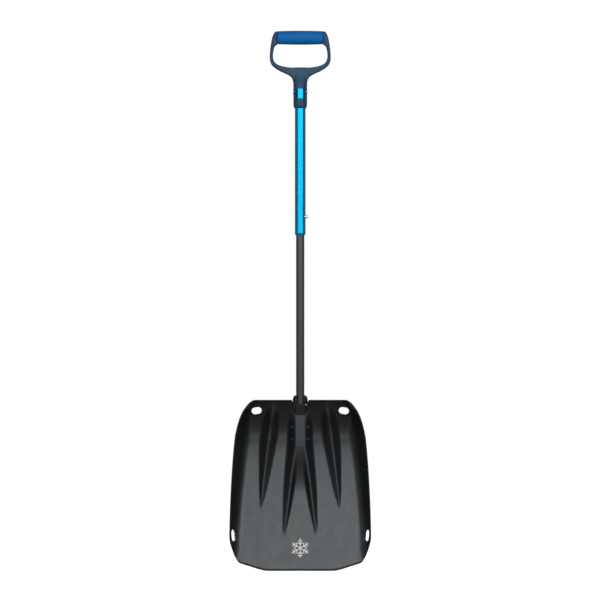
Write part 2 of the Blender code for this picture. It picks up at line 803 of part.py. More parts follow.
def grip_stem():
    """A sleeve on the tube that narrows in depth and widens into the frame."""
    straight = shaft_outline(-STEM_WALL, 4)
    width = max(x for x, _ in straight)
    depth = SHAFT_HALF_DEPTH + STEM_WALL
    # Height, half-width and half-depth of each section above the straight part.
    shoulders = ((873, 12.1, 14.9), (878, 12.3, 13.1), (884, 12.6, 10.9), (890, 12.9, 9.2), (896, 13, 8), (899.5, 13, 7.2))
    rings = [[(x, y, STEM_FOOT) for x, y in shaft_outline(-0.75 * MM, 4)]]
    rings += [[(x, y, z) for x, y in straight] for z in (STEM_FOOT + 5 * MM, 868 * MM)]
    for z, half_width, half_depth in shoulders:
        across, deep = half_width * MM / width, half_depth * MM / depth
        rings.append([(x * across, y * deep, z * MM) for x, y in straight])
    return loft(rings)


def grip_pin_hole(name):
    reach = 30 * MM
    mesh = rod((-reach, 0, GRIP_PIN_Z), (reach, 0, GRIP_PIN_Z), GRIP_PIN_RADIUS + GAP, 20)
    return add_cutter(name, mesh)


def make_grip(finish):
    grip = add_part("d_grip", grip_frame(), finish, (0, 0, STEM_FOOT))
    boolean(grip, bar_end("bar_end_right", 1), "UNION")
    boolean(grip, bar_end("bar_end_left", -1), "UNION")
    boolean(grip, add_cutter("grip_stem", grip_stem()), "UNION")
    bar = rod((-43 * MM, 0, BAR_Z), (43 * MM, 0, BAR_Z), BAR_RADIUS, 24)
    boolean(grip, add_cutter("grip_bar", bar), "UNION")
    bore = extruded([shaft_outline(-GAP)], 820 * MM, UPPER_TUBE_TOP + 0.4 * MM)
    boolean(grip, add_cutter("stem_bore", bore))
    half, low, high = WINDOW_HALF, WINDOW_LOW, WINDOW_HIGH
    corners = [(half, high), (-half, high), (-half, low), (half, low)]
    window = extruded([rounded(corners, [3 * MM] * 4, 4)], 5 * MM, 30 * MM)
    window.transform(Matrix.Rotation(math.radians(90), 4, "X"))
    boolean(grip, add_cutter("stem_window", window))
    boolean(grip, grip_pin_hole("stem_pin_hole"))
    return grip


def make_sleeve(finish):
    """A soft tube on the grip's bar, slightly fuller in its middle."""
    bore = BAR_RADIUS + GAP
    half = SLEEVE_HALF
    count = 8
    outside = []
    for step in range(count + 1):
        place = -1 + 2 * step / count
        outside.append((SLEEVE_RADIUS - 0.8 * MM * place**2, place * (half - 1 * MM)))
    profile = [(bore, -half), (SLEEVE_RADIUS - 1.8 * MM, -half)]
    profile += outside
    profile += [(SLEEVE_RADIUS - 1.8 * MM, half), (bore, half), (bore, -half)]
    place = Matrix.Translation((0, 0, BAR_Z)) @ Matrix.Rotation(math.radians(90), 4, "Y")
    mesh = turned(profile, place, 28)
    shade_round(mesh)
    add_part("grip_sleeve", mesh, finish, (0, 0, BAR_Z))


def make_grip_pin(finish):
    head = 4.2 * MM
    seat = shaft_side(head, -STEM_WALL) + GAP
    profile = [
        (0, -seat - 1.4 * MM),
        (3.2 * MM, -seat - 1.1 * MM),
        (head, -seat),
        (GRIP_PIN_RADIUS, -seat),
        (GRIP_PIN_RADIUS, seat),
        (head, seat),
        (3.2 * MM, seat + 1.1 * MM),
        (0, seat + 1.4 * MM),
    ]
    place = Matrix.Translation((0, 0, GRIP_PIN_Z)) @ Matrix.Rotation(math.radians(90), 4, "Y")
    mesh = turned(profile, place, 20)
    shade_round(mesh)
    add_part("grip_pin", mesh, finish, (0, 0, GRIP_PIN_Z))


# ---------------------------------------------------------------- assembly


def make_shovel():
    charcoal = material("charcoal_anodised", (0.05, 0.055, 0.06), 0.45, 0.8)
    black_moulding = material("black_moulding", (0.02, 0.02, 0.02), 0.5, 0.0)
    grey_anodised = material("dark_grey_anodised", (0.06, 0.06, 0.07), 0.4, 0.8)
    blue_anodised = material("blue_anodised", (0.0, 0.45, 0.8), 0.3, 0.8)
    navy_nylon = material("navy_nylon", (0.03, 0.08, 0.15), 0.5, 0.0)
    blue_rubber = material("blue_rubber", (0.0, 0.12, 0.4), 0.7, 0.0)
    steel = material("steel", (0.6, 0.6, 0.6), 0.3, 1.0)
    make_blade(charcoal)
    make_rivets(charcoal)
    make_socket(black_moulding)
    make_lower_tube(grey_anodised)
    make_plugs(black_moulding)
    make_button("shaft_lock_button", SHAFT_LOCK_Z, SHAFT_BUTTON_TIP, steel)
    make_button("blade_lock_button", BLADE_LOCK_Z, BLADE_BUTTON_TIP, steel)
    make_spring("shaft_lock_spring", SHAFT_LOCK_Z, steel)
    make_spring("blade_lock_spring", BLADE_LOCK_Z, steel)
    make_upper_tube(blue_anodised)
    make_grip(navy_nylon)
    make_sleeve(blue_rubber)
    make_grip_pin(steel)


clear_scene()
PARTS = new_collection("avalanche_shovel")
CUTTERS = new_collection("cutters")
make_shovel()
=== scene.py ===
"""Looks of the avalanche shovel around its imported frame: fine meshes, finishes, light and camera.

Metres, +Z up the shaft, -Y out of the scoop, +X on the side of the lock buttons.
"""

import json
import math

import bmesh
import bpy
import numpy as np
from mathutils import Matrix, Vector


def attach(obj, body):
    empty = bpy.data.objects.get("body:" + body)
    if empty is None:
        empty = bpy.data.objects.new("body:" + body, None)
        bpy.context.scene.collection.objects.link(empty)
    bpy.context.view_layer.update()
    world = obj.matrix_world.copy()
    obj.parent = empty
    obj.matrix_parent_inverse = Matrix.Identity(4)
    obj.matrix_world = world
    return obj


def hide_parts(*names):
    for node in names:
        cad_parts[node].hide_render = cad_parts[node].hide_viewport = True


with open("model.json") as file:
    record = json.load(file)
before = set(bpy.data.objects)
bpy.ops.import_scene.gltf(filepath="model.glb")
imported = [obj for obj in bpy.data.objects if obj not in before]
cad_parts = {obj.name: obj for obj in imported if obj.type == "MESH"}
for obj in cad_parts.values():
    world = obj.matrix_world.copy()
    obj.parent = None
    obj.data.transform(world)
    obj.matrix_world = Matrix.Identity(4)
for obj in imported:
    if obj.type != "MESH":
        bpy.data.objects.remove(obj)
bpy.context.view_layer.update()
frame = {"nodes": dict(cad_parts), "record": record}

MM = 0.001

# Shaft's section and its tubes.
SHAFT_BACK_HALF = 10.1 * MM
SHAFT_FRONT_HALF = 7.0 * MM
SHAFT_HALF_DEPTH = 13.0 * MM
SHAFT_CORNER = 4.0 * MM
TUBE_WALL = 1.2 * MM
LOWER_INSET = 2.1 * MM
SIDE_LEAN = (SHAFT_BACK_HALF - SHAFT_FRONT_HALF) / (2 * SHAFT_HALF_DEPTH)

# Blade.
BLADE_HEIGHT = 305 * MM
SHEET = 2.0 * MM
HUMP_END_Z = 222 * MM
HUMP_FRONT_Y = -15 * MM
NOTCH_Z = 277 * MM
NOTCH_HALF = 15.5 * MM
DEEPEST_Z = 230 * MM
DEEPEST_Y = 3 * MM
CUTTING_EDGE_Y = -37 * MM
SCOOP_CURVE = 1.35
SCOOP_EASE = 0.03
LIP_RADIUS = 661 * MM
CURL_START_Z = 242 * MM
CURL_DEPTH = 28 * MM
RIM_Y = -41 * MM
WALL_CURVE = 2.6
CORNER_Z = 16.5 * MM
OUTER_RIB_HEIGHT = 13 * MM
OUTER_RIB_TIP_Z = 112 * MM
OUTER_RIB_FADE_Z = 272 * MM
OUTER_RIB_RISE = 0.85
INNER_RIB_RISE = 0.9
INNER_RIB_TIP_Z = 65 * MM
VALLEY_LENGTH = 85 * MM
CREST_SHARE = 0.15
FOOT_SHARE = 0.6
SIDE_HOLE = (SIDE_HOLE_Y, SIDE_HOLE_Z) = (-32.6 * MM, 63 * MM)
TOP_HOLE = (78.3 * MM, 286.2 * MM)
TOP_HOLE_SIZE = (18.4 * MM, 13.0 * MM)
SIDE_HOLE_SIZE = (21.6 * MM, 9.8 * MM)
TOP_HOLE_LEAN = math.radians(-10)
SIDE_HOLE_LEAN = math.radians(-6)
SIDE_LIP_SHARE = 0.45
RIVET_X = 13.6 * MM
RIVET_ROWS = (256 * MM, 234 * MM)

# Shaft.
UPPER_TUBE_FOOT = 601 * MM
UPPER_TUBE_TOP = 872 * MM
ROLLED_END = 4.5 * MM
ROLL = 0.06
LOWER_TUBE_FOOT = 230 * MM
LOWER_TUBE_TOP = 676 * MM
SHAFT_LOCK_Z = 634 * MM
BLADE_LOCK_Z = 296 * MM
TELESCOPE_TRAVEL = 165 * MM
BUTTON_RADIUS = 2.8 * MM
LOCK_HOLE_RADIUS = 3.2 * MM
SHAFT_BUTTON_TIP = 13.4 * MM
BLADE_BUTTON_TIP = 12.2 * MM

# Socket.
SOCKET_FOOT_Z = 226 * MM
SOCKET_WING_Z = 262 * MM
SOCKET_NECK_Z = 300 * MM
SOCKET_BACK_Y = 15.8 * MM
EAR_HALF = 13.4 * MM

# Grip.
STEM_FOOT = 829 * MM
STEM_WALL = 2.45 * MM
GRIP_PIN_Z = 858.5 * MM
GRIP_PIN_RADIUS = 2.5 * MM
BAR_Z = 955.8 * MM
BAR_RADIUS = 8.5 * MM
SLEEVE_RADIUS = 12.6 * MM
SLEEVE_HALF = 40.9 * MM
WINDOW_HALF = 7.0 * MM
WINDOW_LOW = 846.4 * MM
WINDOW_HIGH = 864.3 * MM
GAP = 0.3 * MM

# A shape drawn flat stands upright, and one turned about Z lies along X.
UPRIGHT = Matrix.Rotation(math.radians(90), 4, "X")
ALONG_X = Matrix.Rotation(math.radians(90), 4, "Y")
ROUND_ANGLE = 40


# ---------------------------------------------------------------- small helpers


def lerp(a, b, t):
    return a + (b - a) * t


def smooth(t):
    t = np.clip(t, 0, 1)
    return t * t * (3 - 2 * t)


def points_mm(*pairs):
    return np.array(sorted(pairs), float) * MM


def curve_through(points, at):
    """A smooth curve through a few (position, value) points, read at an array of positions."""
    at = np.clip(np.asarray(at, float), points[0, 0], points[-1, 0])
    place = np.clip(np.searchsorted(points[:, 0], at, side="left") - 1, 0, len(points) - 2)
    low, high = points[place], points[place + 1]
    before, after = points[np.maximum(place - 1, 0)], points[np.minimum(place + 2, len(points) - 1)]
    span = high[..., 0] - low[..., 0]
    slope_low = (high[..., 1] - before[..., 1]) / (high[..., 0] - before[..., 0])
    slope_high = (after[..., 1] - low[..., 1]) / (after[..., 0] - low[..., 0])
    t = (at - low[..., 0]) / span
    return (
        (2 * t**3 - 3 * t**2 + 1) * low[..., 1]
        + (t**3 - 2 * t**2 + t) * span * slope_low
        + (3 * t**2 - 2 * t**3) * high[..., 1]
        + (t**3 - t**2) * span * slope_high
    )


def new_object(name, mesh):
    mesh.name = name
    return new_object_of(name, mesh)


def new_object_of(name, data):
    obj = bpy.data.objects.new(name, data)
    bpy.context.scene.collection.objects.link(obj)
    return obj


def mesh_from(vertices, faces):
    mesh = bpy.data.meshes.new("shape")
    mesh.from_pydata([tuple(v) for v in vertices], [], faces)
    mesh.validate()
    return mesh


def mesh_of(shape):
    mesh = bpy.data.meshes.new("shape")
    shape.to_mesh(mesh)
    shape.free()
    return mesh


def evaluated_mesh(obj):
    """The mesh that an object's modifiers make, as a new plain mesh."""
    graph = bpy.context.evaluated_depsgraph_get()
    return bpy.data.meshes.new_from_object(obj.evaluated_get(graph))


def with_cuts(mesh, cutters, operation="DIFFERENCE"):
    """The mesh after each cutter mesh is taken from it, or joined to it."""
    base = new_object("cut_base", mesh)
    tools = [new_object("cut_tool", cutter) for cutter in cutters]
    for tool in tools:
        modifier = base.modifiers.new("cut", "BOOLEAN")
        modifier.operation = operation
        modifier.solver = "EXACT"
        modifier.object = tool
    result = evaluated_mesh(base)
    for obj in [base, *tools]:
        bpy.data.objects.remove(obj)
    return result


def outward_faces(mesh):
    """Merges points that lie together and turns every face outwards."""
    shape = bmesh.new()
    shape.from_mesh(mesh)
    bmesh.ops.remove_doubles(shape, verts=shape.verts, dist=0.001 * MM)
    bmesh.ops.recalc_face_normals(shape, faces=shape.faces)
    shape.to_mesh(mesh)
    shape.free()


def melted(forms, grain, rounds, swell):
    """Forms that overlap, merged to one skin with soft edges, then swollen back to their thickness."""
    base = new_object("melt_base", joined(forms))
    merge = base.modifiers.new("merge", "REMESH")
    merge.mode = "VOXEL"
    merge.voxel_size = grain
    soften = base.modifiers.new("soften", "SMOOTH")
    soften.factor = 0.5
    soften.iterations = rounds
    grow = base.modifiers.new("grow", "DISPLACE")
    grow.mid_level = 0
    grow.strength = swell
    mesh = evaluated_mesh(base)
    bpy.data.objects.remove(base)
    return mesh


def box(low, high):
    shape = bmesh.new()
    size = [b - a for a, b in zip(low, high)]
    middle = [(a + b) / 2 for a, b in zip(low, high)]
    bmesh.ops.create_cube(shape, size=1, matrix=Matrix.Translation(middle) @ Matrix.Diagonal((*size, 1)))
    return mesh_of(shape)


def rod(start, end, radius, sides=32, end_radius=None):
    """A round bar, or a cone, between two points."""
    shape = bmesh.new()
    along = Vector(end) - Vector(start)
    place = Matrix.Translation((Vector(start) + Vector(end)) / 2)
    place @= along.to_track_quat("Z", "Y").to_matrix().to_4x4()
    bmesh.ops.create_cone(
        shape,
        cap_ends=True,
        segments=sides,
        radius1=radius,
        radius2=radius if end_radius is None else end_radius,
        depth=along.length,
        matrix=place,
    )
    return mesh_of(shape)


def turned(profile, place, sides):
    """A profile of (radius, height) points turned about its own axis, then put in place."""
    shape = bmesh.new()
    points = [shape.verts.new((r, 0, z)) for r, z in profile]
    for a, b in zip(points, points[1:]):
        shape.edges.new((a, b))
    bmesh.ops.spin(
        shape,
        geom=shape.verts[:] + shape.edges[:],
        axis=(0, 0, 1),
        cent=(0, 0, 0),
        steps=sides,
        angle=math.tau,
        use_merge=True,
    )
    bmesh.ops.remove_doubles(shape, verts=shape.verts, dist=0.001 * MM)
    bmesh.ops.recalc_face_normals(shape, faces=shape.faces)
    mesh = mesh_of(shape)
    mesh.transform(place)
    return mesh


def domed(radius, start, rise):
    """The profile of a low dome, from its edge to its middle."""
    return [(radius * math.cos(a), start + rise * math.sin(a)) for a in np.linspace(0, math.pi / 2, 10)]


def shade_round(mesh, degrees=ROUND_ANGLE):
    mesh.shade_smooth()
    mesh.set_sharp_from_angle(angle=math.radians(degrees))


def rounded(corners, radii, steps=8):
    """The points of a polygon whose corners are arcs."""
    points = []
    count = len(corners)
    for i, corner in enumerate(corners):
        here = Vector(corner)
        back = (Vector(corners[i - 1]) - here).normalized()
        ahead = (Vector(corners[(i + 1) % count]) - here).normalized()
        half = math.acos(max(-1.0, min(1.0, back.dot(ahead)))) / 2
        reach = radii[i] / math.tan(half)
        centre = here + (back + ahead).normalized() * radii[i] / math.sin(half)
        start = here + back * reach - centre
        turn = start.angle_signed(here + ahead * reach - centre)
        for step in range(steps + 1):
            arm = start.copy()
            arm.rotate(Matrix.Rotation(-turn * step / steps, 2))
            points.append(centre + arm)
    return [(p.x, p.y) for p in points]


def prism(outline, low, high):
    """A flat outline extruded along Z."""
    shape = bmesh.new()
    face = shape.faces.new([shape.verts.new((x, y, low)) for x, y in outline])
    moved = bmesh.ops.extrude_face_region(shape, geom=[face])["geom"]
    for item in moved:
        if isinstance(item, bmesh.types.BMVert):
            item.co.z = high
    bmesh.ops.recalc_face_normals(shape, faces=shape.faces)
    return mesh_of(shape)


def loft(rings, closed=False):
    """A skin over rings of as many points each. It is capped, or runs on from its last ring to its first."""
    shape = bmesh.new()
    rows = [[shape.verts.new(point) for point in ring] for ring in rings]
    pairs = list(zip(rows, rows[1:]))
    if closed:
        pairs.append((rows[-1], rows[0]))
    for low, high in pairs:
        for i in range(len(low)):
            j = (i + 1) % len(low)
            shape.faces.new((low[i], low[j], high[j], high[i]))
    if not closed:
        shape.faces.new(rows[0])
        shape.faces.new(rows[-1])
    bmesh.ops.recalc_face_normals(shape, faces=shape.faces)
    return mesh_of(shape)


def finish_piece(name, mesh, body, nodes, finish):
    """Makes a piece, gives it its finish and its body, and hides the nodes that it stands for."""
    obj = new_object(name, mesh)
    obj.data.materials.clear()
    obj.data.materials.append(finish)
    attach(obj, body)
    if nodes:
        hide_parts(*nodes)


# ---------------------------------------------------------------- geometry nodes


SOCKETS = {int: "NodeSocketInt", float: "NodeSocketFloat", bpy.types.Object: "NodeSocketObject"}


class Tree:
    """A Geometry Nodes tree with named inputs, and short ways to add nodes to it and to read its result."""

    def __init__(self, name, **sizes):
        self.group = bpy.data.node_groups.new(name, "GeometryNodeTree")
        self.sizes = sizes
        face = self.group.interface
        face.new_socket("Geometry", in_out="OUTPUT", socket_type="NodeSocketGeometry")
        face.new_socket("Geometry", in_out="INPUT", socket_type="NodeSocketGeometry")
        for label, value in sizes.items():
            face.new_socket(label, in_out="INPUT", socket_type=SOCKETS[type(value)])
        self.entry = self.group.nodes.new("NodeGroupInput")

    def given(self, label):
        return self.entry.outputs[label]

    def link(self, source, target):
        self.group.links.new(source, target)

    def add(self, kind, **inputs):
        """A node with settings, named in small letters, and inputs that are linked to outputs or set to values."""
        node = self.group.nodes.new(kind)
        for label, value in inputs.items():
            if label.islower():
                setattr(node, label, value)
                continue
            socket = node.inputs[label.replace("_", " ")]
            if isinstance(value, bpy.types.NodeSocket):
                self.link(value, socket)
            else:
                socket.default_value = value
        return node

    def maths(self, operation, *values):
        node = self.add("ShaderNodeMath", operation=operation)
        for socket, value in zip(node.inputs, values):
            if isinstance(value, bpy.types.NodeSocket):
                self.link(value, socket)
            else:
                socket.default_value = value
        return node.outputs["Value"]

    def named(self, name, kind):
        return self.add("GeometryNodeInputNamedAttribute", data_type=kind, Name=name).outputs["Attribute"]

    def bar_shape(self, length, width):
        """A flat bar, fine enough along its length to follow the sheet."""
        size = self.add("ShaderNodeCombineXYZ", X=length, Y=width, Z=PRINT_THICKNESS)
        return self.add("GeometryNodeMeshCube", Size=size.outputs["Vector"], Vertices_X=10).outputs["Mesh"]

    def moved(self, shape, place, turn):
        return self.add("GeometryNodeTransform", Geometry=shape, Translation=place, Rotation=(0, 0, turn)).outputs[0]

    def result(self, shape, finish, start=None):
        """The tree's plain mesh, with its instances made real and its material set."""
        real = self.add("GeometryNodeRealizeInstances", Geometry=shape)
        coated = self.add("GeometryNodeSetMaterial", Geometry=real.outputs["Geometry"], Material=finish)
        leave = self.group.nodes.new("NodeGroupOutput")
        self.link(coated.outputs["Geometry"], leave.inputs["Geometry"])
        obj = new_object(self.group.name, start or bpy.data.meshes.new("start"))
        modifier = obj.modifiers.new(self.group.name, "NODES")
        modifier.node_group = self.group
        for socket in self.group.interface.items_tree:
            if socket.in_out == "INPUT" and socket.name in self.sizes:
                modifier[socket.identifier] = self.sizes[socket.name]
        mesh = evaluated_mesh(obj)
        bpy.data.objects.remove(obj)
        return mesh


# ---------------------------------------------------------------- materials


class Finish:
    """A material with a Principled shader, and short ways to add what feeds it."""

    def __init__(self, name, colour, roughness, metallic):
        self.made = bpy.data.materials.new(name)
        self.made.use_nodes = True
        self.nodes = self.made.node_tree.nodes
        self.links = self.made.node_tree.links
        self.shader = self.nodes["Principled BSDF"]
        self.shader.inputs["Base Color"].default_value = (*colour, 1)
        self.shader.inputs["Roughness"].default_value = roughness
        self.shader.inputs["Metallic"].default_value = metallic
        self.place = self.nodes.new("ShaderNodeTexCoord").outputs["Object"]

    def noise(self, scale, detail=4, stretch=(1, 1, 1), roughness=0.5):
        mapping = self.nodes.new("ShaderNodeMapping")
        mapping.inputs["Scale"].default_value = stretch
        self.links.new(self.place, mapping.inputs["Vector"])
        noise = self.nodes.new("ShaderNodeTexNoise")
        noise.inputs["Scale"].default_value = scale
        noise.inputs["Detail"].default_value = detail
        noise.inputs["Roughness"].default_value = roughness
        self.links.new(mapping.outputs["Vector"], noise.inputs["Vector"])
        return noise.outputs["Fac"]

    def ramp(self, value, stops):
        """Turns a value into a colour, or a grey, through (position, colour) stops."""
        node = self.nodes.new("ShaderNodeValToRGB")
        elements = node.color_ramp.elements
        while len(elements) < len(stops):
            elements.new(0.5)
        for element, (position, colour) in zip(elements, stops):
            element.position = position
            element.color = (*colour, 1) if hasattr(colour, "__len__") else (colour,) * 3 + (1,)
        self.links.new(value, node.inputs["Fac"])
        return node.outputs["Color"]

    def range(self, value, low, high, start=0.35, end=0.65):
        node = self.nodes.new("ShaderNodeMapRange")
        node.inputs["From Min"].default_value = start
        node.inputs["From Max"].default_value = end
        node.inputs["To Min"].default_value = low
        node.inputs["To Max"].default_value = high
        self.links.new(value, node.inputs["Value"])
        return node.outputs["Result"]

    def mix(self, share, first, second):
        node = self.nodes.new("ShaderNodeMix")
        node.data_type = "RGBA"
        self.links.new(share, node.inputs["Factor"])
        for socket, value in ((node.inputs[6], first), (node.inputs[7], second)):
            if hasattr(value, "is_output"):
                self.links.new(value, socket)
            else:
                socket.default_value = (*value, 1)
        return node.outputs[2]

    def scratches(self, stretch, scale, mask):
        """A mask of thin random lines, only where another mask allows them."""
        lines = self.range(self.noise(scale, 2, stretch), 0, 1, 0.62, 0.7)
        node = self.nodes.new("ShaderNodeMath")
        node.operation = "MULTIPLY"
        self.links.new(lines, node.inputs[0])
        self.links.new(mask, node.inputs[1])
        return node.outputs["Value"]

    def attribute(self, name):
        node = self.nodes.new("ShaderNodeAttribute")
        node.attribute_name = name
        return node.outputs["Fac"]

    def bump(self, height, strength, distance, under=None):
        node = self.nodes.new("ShaderNodeBump")
        node.inputs["Strength"].default_value = strength
        node.inputs["Distance"].default_value = distance
        self.links.new(height, node.inputs["Height"])
        if under is not None:
            self.links.new(under, node.inputs["Normal"])
        return node.outputs["Normal"]

    def feed(self, **sockets):
        for name, value in sockets.items():
            self.links.new(value, self.shader.inputs[name.replace("_", " ")])
        return self.made


def charcoal_anodised():
    """Matt grey anodising over a fine rolled grain, a little uneven, with paler scratches where it is rubbed at the
    cutting edge, and fainter ones along the rib crests that are partly a painted highlight.
    """
    finish = Finish("charcoal_anodised", (0.06, 0.0645, 0.067), 0.46, 0.9)
    cloud = finish.noise(14, 3)
    warm, cool = (0.0615, 0.0648, 0.0664), (0.0588, 0.0642, 0.0676)
    colour = finish.ramp(cloud, [(0.35, warm), (0.65, cool)])
    wear = finish.attribute("wear")
    # Paler scratch lines: real wear at the cutting edge, and partly a painted highlight along the rib crests.
    marks = finish.scratches((1, 1, 0.035), 900, wear)
    colour = finish.mix(marks, colour, (0.1, 0.106, 0.109))
    rough = finish.range(finish.noise(60, 5), 0.42, 0.46)
    grain = finish.bump(finish.noise(2600, 2), 0.12, 0.0003)
    return finish.feed(Base_Color=colour, Roughness=rough, Normal=grain)


def brushed_anodised(name, dark, pale, roughness):
    """Anodised tube: a colour over lengthwise brush marks."""
    finish = Finish(name, pale, roughness, 0.92)
    brush = finish.noise(1500, 3, (1, 1, 0.012))
    cloud = finish.noise(25, 3, (1, 1, 0.4))
    colour = finish.mix(finish.range(cloud, 0, 1, 0.3, 0.7), dark, pale)
    rough = finish.range(brush, roughness - 0.05, roughness + 0.07, 0.3, 0.7)
    lines = finish.bump(brush, 0.1, 0.0002)
    return finish.feed(Base_Color=colour, Roughness=rough, Normal=lines)


def moulded(name, dark, pale, roughness, grain_size, shine):
    """Moulded plastic: a fine spark-eroded grain, slightly uneven gloss and a faint cloud in its colour."""
    finish = Finish(name, pale, roughness, 0.0)
    finish.shader.inputs["Specular IOR Level"].default_value = shine
    colour = finish.mix(finish.range(finish.noise(40, 4), 0, 1, 0.3, 0.7), dark, pale)
    rough = finish.range(finish.noise(220, 4), roughness - 0.06, roughness + 0.08)
    grain = finish.bump(finish.noise(1 / grain_size, 2), 0.25, 0.0002)
    return finish.feed(Base_Color=colour, Roughness=rough, Normal=grain)


def soft_rubber():
    """A matt rubber with a pebbled grain, duller and paler where palms rub it."""
    finish = Finish("soft_rubber", (0.004, 0.13, 0.4), 0.62, 0.0)
    finish.shader.inputs["Specular IOR Level"].default_value = 0.12
    cloud = finish.noise(30, 4)
    colour = finish.mix(finish.range(cloud, 0, 1, 0.3, 0.7), (0.003, 0.115, 0.36), (0.006, 0.14, 0.43))
    rough = finish.range(finish.noise(300, 3), 0.55, 0.7)
    pebbles = finish.bump(finish.noise(1100, 2), 0.35, 0.0003)
    return finish.feed(Base_Color=colour, Roughness=rough, Normal=pebbles)


def turned_steel(name, colour, roughness):
    """Bright steel with fine machining marks and a slightly uneven polish."""
    finish = Finish(name, colour, roughness, 1.0)
    marks = finish.noise(900, 3, (0.1, 1, 1))
    rough = finish.range(marks, roughness - 0.08, roughness + 0.1)
    tint = finish.mix(finish.range(finish.noise(200, 3), 0, 1), [0.85 * c for c in colour], colour)
    return finish.feed(Base_Color=tint, Roughness=rough, Normal=finish.bump(marks, 0.08, 0.0001))


def black_paint():
    """Satin black paint with a trace of orange peel."""
    finish = Finish("black_paint", (0.024, 0.025, 0.026), 0.5, 0.0)
    colour = finish.mix(finish.range(finish.noise(300, 3), 0, 1), (0.02, 0.021, 0.022), (0.026, 0.027, 0.028))
    rough = finish.range(finish.noise(500, 3), 0.45, 0.58)
    return finish.feed(Base_Color=colour, Roughness=rough, Normal=finish.bump(finish.noise(700, 2), 0.1, 0.0002))


def white_print():
    """Off-white screen print, thin and slightly worn."""
    finish = Finish("white_print", (0.78, 0.78, 0.75), 0.55, 0.0)
    colour = finish.mix(finish.range(finish.noise(500, 5), 0, 1, 0.3, 0.6), (0.6, 0.6, 0.58), (0.82, 0.82, 0.79))
    rough = finish.range(finish.noise(250, 3), 0.5, 0.65)
    return finish.feed(Base_Color=colour, Roughness=rough)


# ---------------------------------------------------------------- blade

# Half-widths of the lines that the pressing follows, as (height, half-width) points in millimetres.
RIM = points_mm(
    (16.5, 111.5), (27, 117.5), (53, 125.4), (75, 126), (150, 123.2), (233, 117),
    (261, 111.4), (283, 103.2), (297, 93.4), (303, 86.6), (305, 82),
)
WALL_LINE = points_mm((0, 100), (35, 102), (107, 100), (179, 93), (233, 85), (283, 74), (305, 64))
OUTER_RIB_OUTSIDE = points_mm(
    (0, 82), (90, 77), (112, 73), (143, 74.5), (215, 75.5), (250, 73.5), (276, 68), (290, 61), (305, 53)
)
OUTER_RIB_CREST = points_mm((0, 70), (112, 70.3), (305, 46.8))
OUTER_RIB_INSIDE = points_mm(
    (0, 58), (90, 64), (112, 67.5), (143, 58.3), (215, 42.5), (250, 36), (283, 35.5), (305, 41)
)
INNER_RIB_OUTSIDE = points_mm((0, 37), (65, 33), (107, 32), (143, 31.5), (215, 26.5), (240, 25), (305, 25))
INNER_RIB_CREST = points_mm((0, 29), (65, 28), (146, 18.5), (190, 12.8), (222, 7.9), (240, 7.7), (305, 7.7))
INNER_RIB_INSIDE = points_mm((0, 18), (65, 24), (114, 14.5), (179, 4.5), (222, 2.5), (305, 3.5))
CUTTING_EDGE = points_mm((0, 0.0), (60, 0.0), (69, 1.5), (89, 7.5), (108, 13.5), (112, 16.5))

LINES = (
    INNER_RIB_INSIDE,
    INNER_RIB_CREST,
    INNER_RIB_OUTSIDE,
    OUTER_RIB_INSIDE,
    OUTER_RIB_CREST,
    OUTER_RIB_OUTSIDE,
    WALL_LINE,
    RIM,
)
COLUMNS_BETWEEN = (4, 10, 12, 10, 12, 12, 12, 18)
BLADE_ROWS = 180
ROW_CROWDING = 1.25
EDGE_ROWS = (0.0025, 0.0045)
EDGE_BEVEL = 1.9 * MM


def flank(t):
    """A rib's height from its crest, t = 0, to its foot, t = 1: a tight crest, a straight flank, a round foot."""
    t = np.clip(t, 0, 1)
    slope = 1 / (CREST_SHARE / 2 + FOOT_SHARE - CREST_SHARE + (1 - FOOT_SHARE) / 2)
    crest = 1 - slope * t * t / (2 * CREST_SHARE)
    side = 1 - slope * (t - CREST_SHARE / 2)
    foot = slope * (1 - t) ** 2 / (2 * (1 - FOOT_SHARE))
    return np.where(t < CREST_SHARE, crest, np.where(t < FOOT_SHARE, side, foot))


def curl(z):
    return CURL_DEPTH * np.maximum(0, (z - CURL_START_Z) / (BLADE_HEIGHT - CURL_START_Z)) ** 2


def scoop_y(z):
    """The blade's long section: nearly straight below its deepest point, and slightly hollow above it."""
    low = np.clip(1 - z / DEEPEST_Z, 0, None)
    eased = (1 + SCOOP_EASE) * low * low / (low + SCOOP_EASE)
    below = lerp(DEEPEST_Y, CUTTING_EDGE_Y, eased**SCOOP_CURVE)
    return np.where(z > DEEPEST_Z, DEEPEST_Y - (z - DEEPEST_Z) ** 2 / (2 * LIP_RADIUS), below)


def wall_depth(x, z):
    start = curve_through(WALL_LINE, z)
    width = np.maximum(curve_through(RIM, z) - start, 0.1 * MM)
    full = (scoop_y(z) - RIM_Y) * np.clip((z - CORNER_Z) / (30 * MM), 0, 1)
    return full * np.clip((x - start) / width, 0, 1) ** WALL_CURVE


def inner_rib(x, z):
    crest = curve_through(INNER_RIB_CREST, z)
    hump = np.maximum(0, scoop_y(z) - curl(z) - HUMP_FRONT_Y)
    full = scoop_y(HUMP_END_Z) - HUMP_FRONT_Y
    rib = full * np.clip((z - INNER_RIB_TIP_Z) / (HUMP_END_Z - INNER_RIB_TIP_Z), 0, 1) ** INNER_RIB_RISE
    height = np.where(z >= HUMP_END_Z, hump, rib)
    outer = flank((x - crest) / (curve_through(INNER_RIB_OUTSIDE, z) - crest))
    valley = smooth((HUMP_END_Z - z) / VALLEY_LENGTH)
    inner = 1 - valley + valley * flank((crest - x) / (crest - curve_through(INNER_RIB_INSIDE, z)))
    return height * np.where(x >= crest, outer, inner)


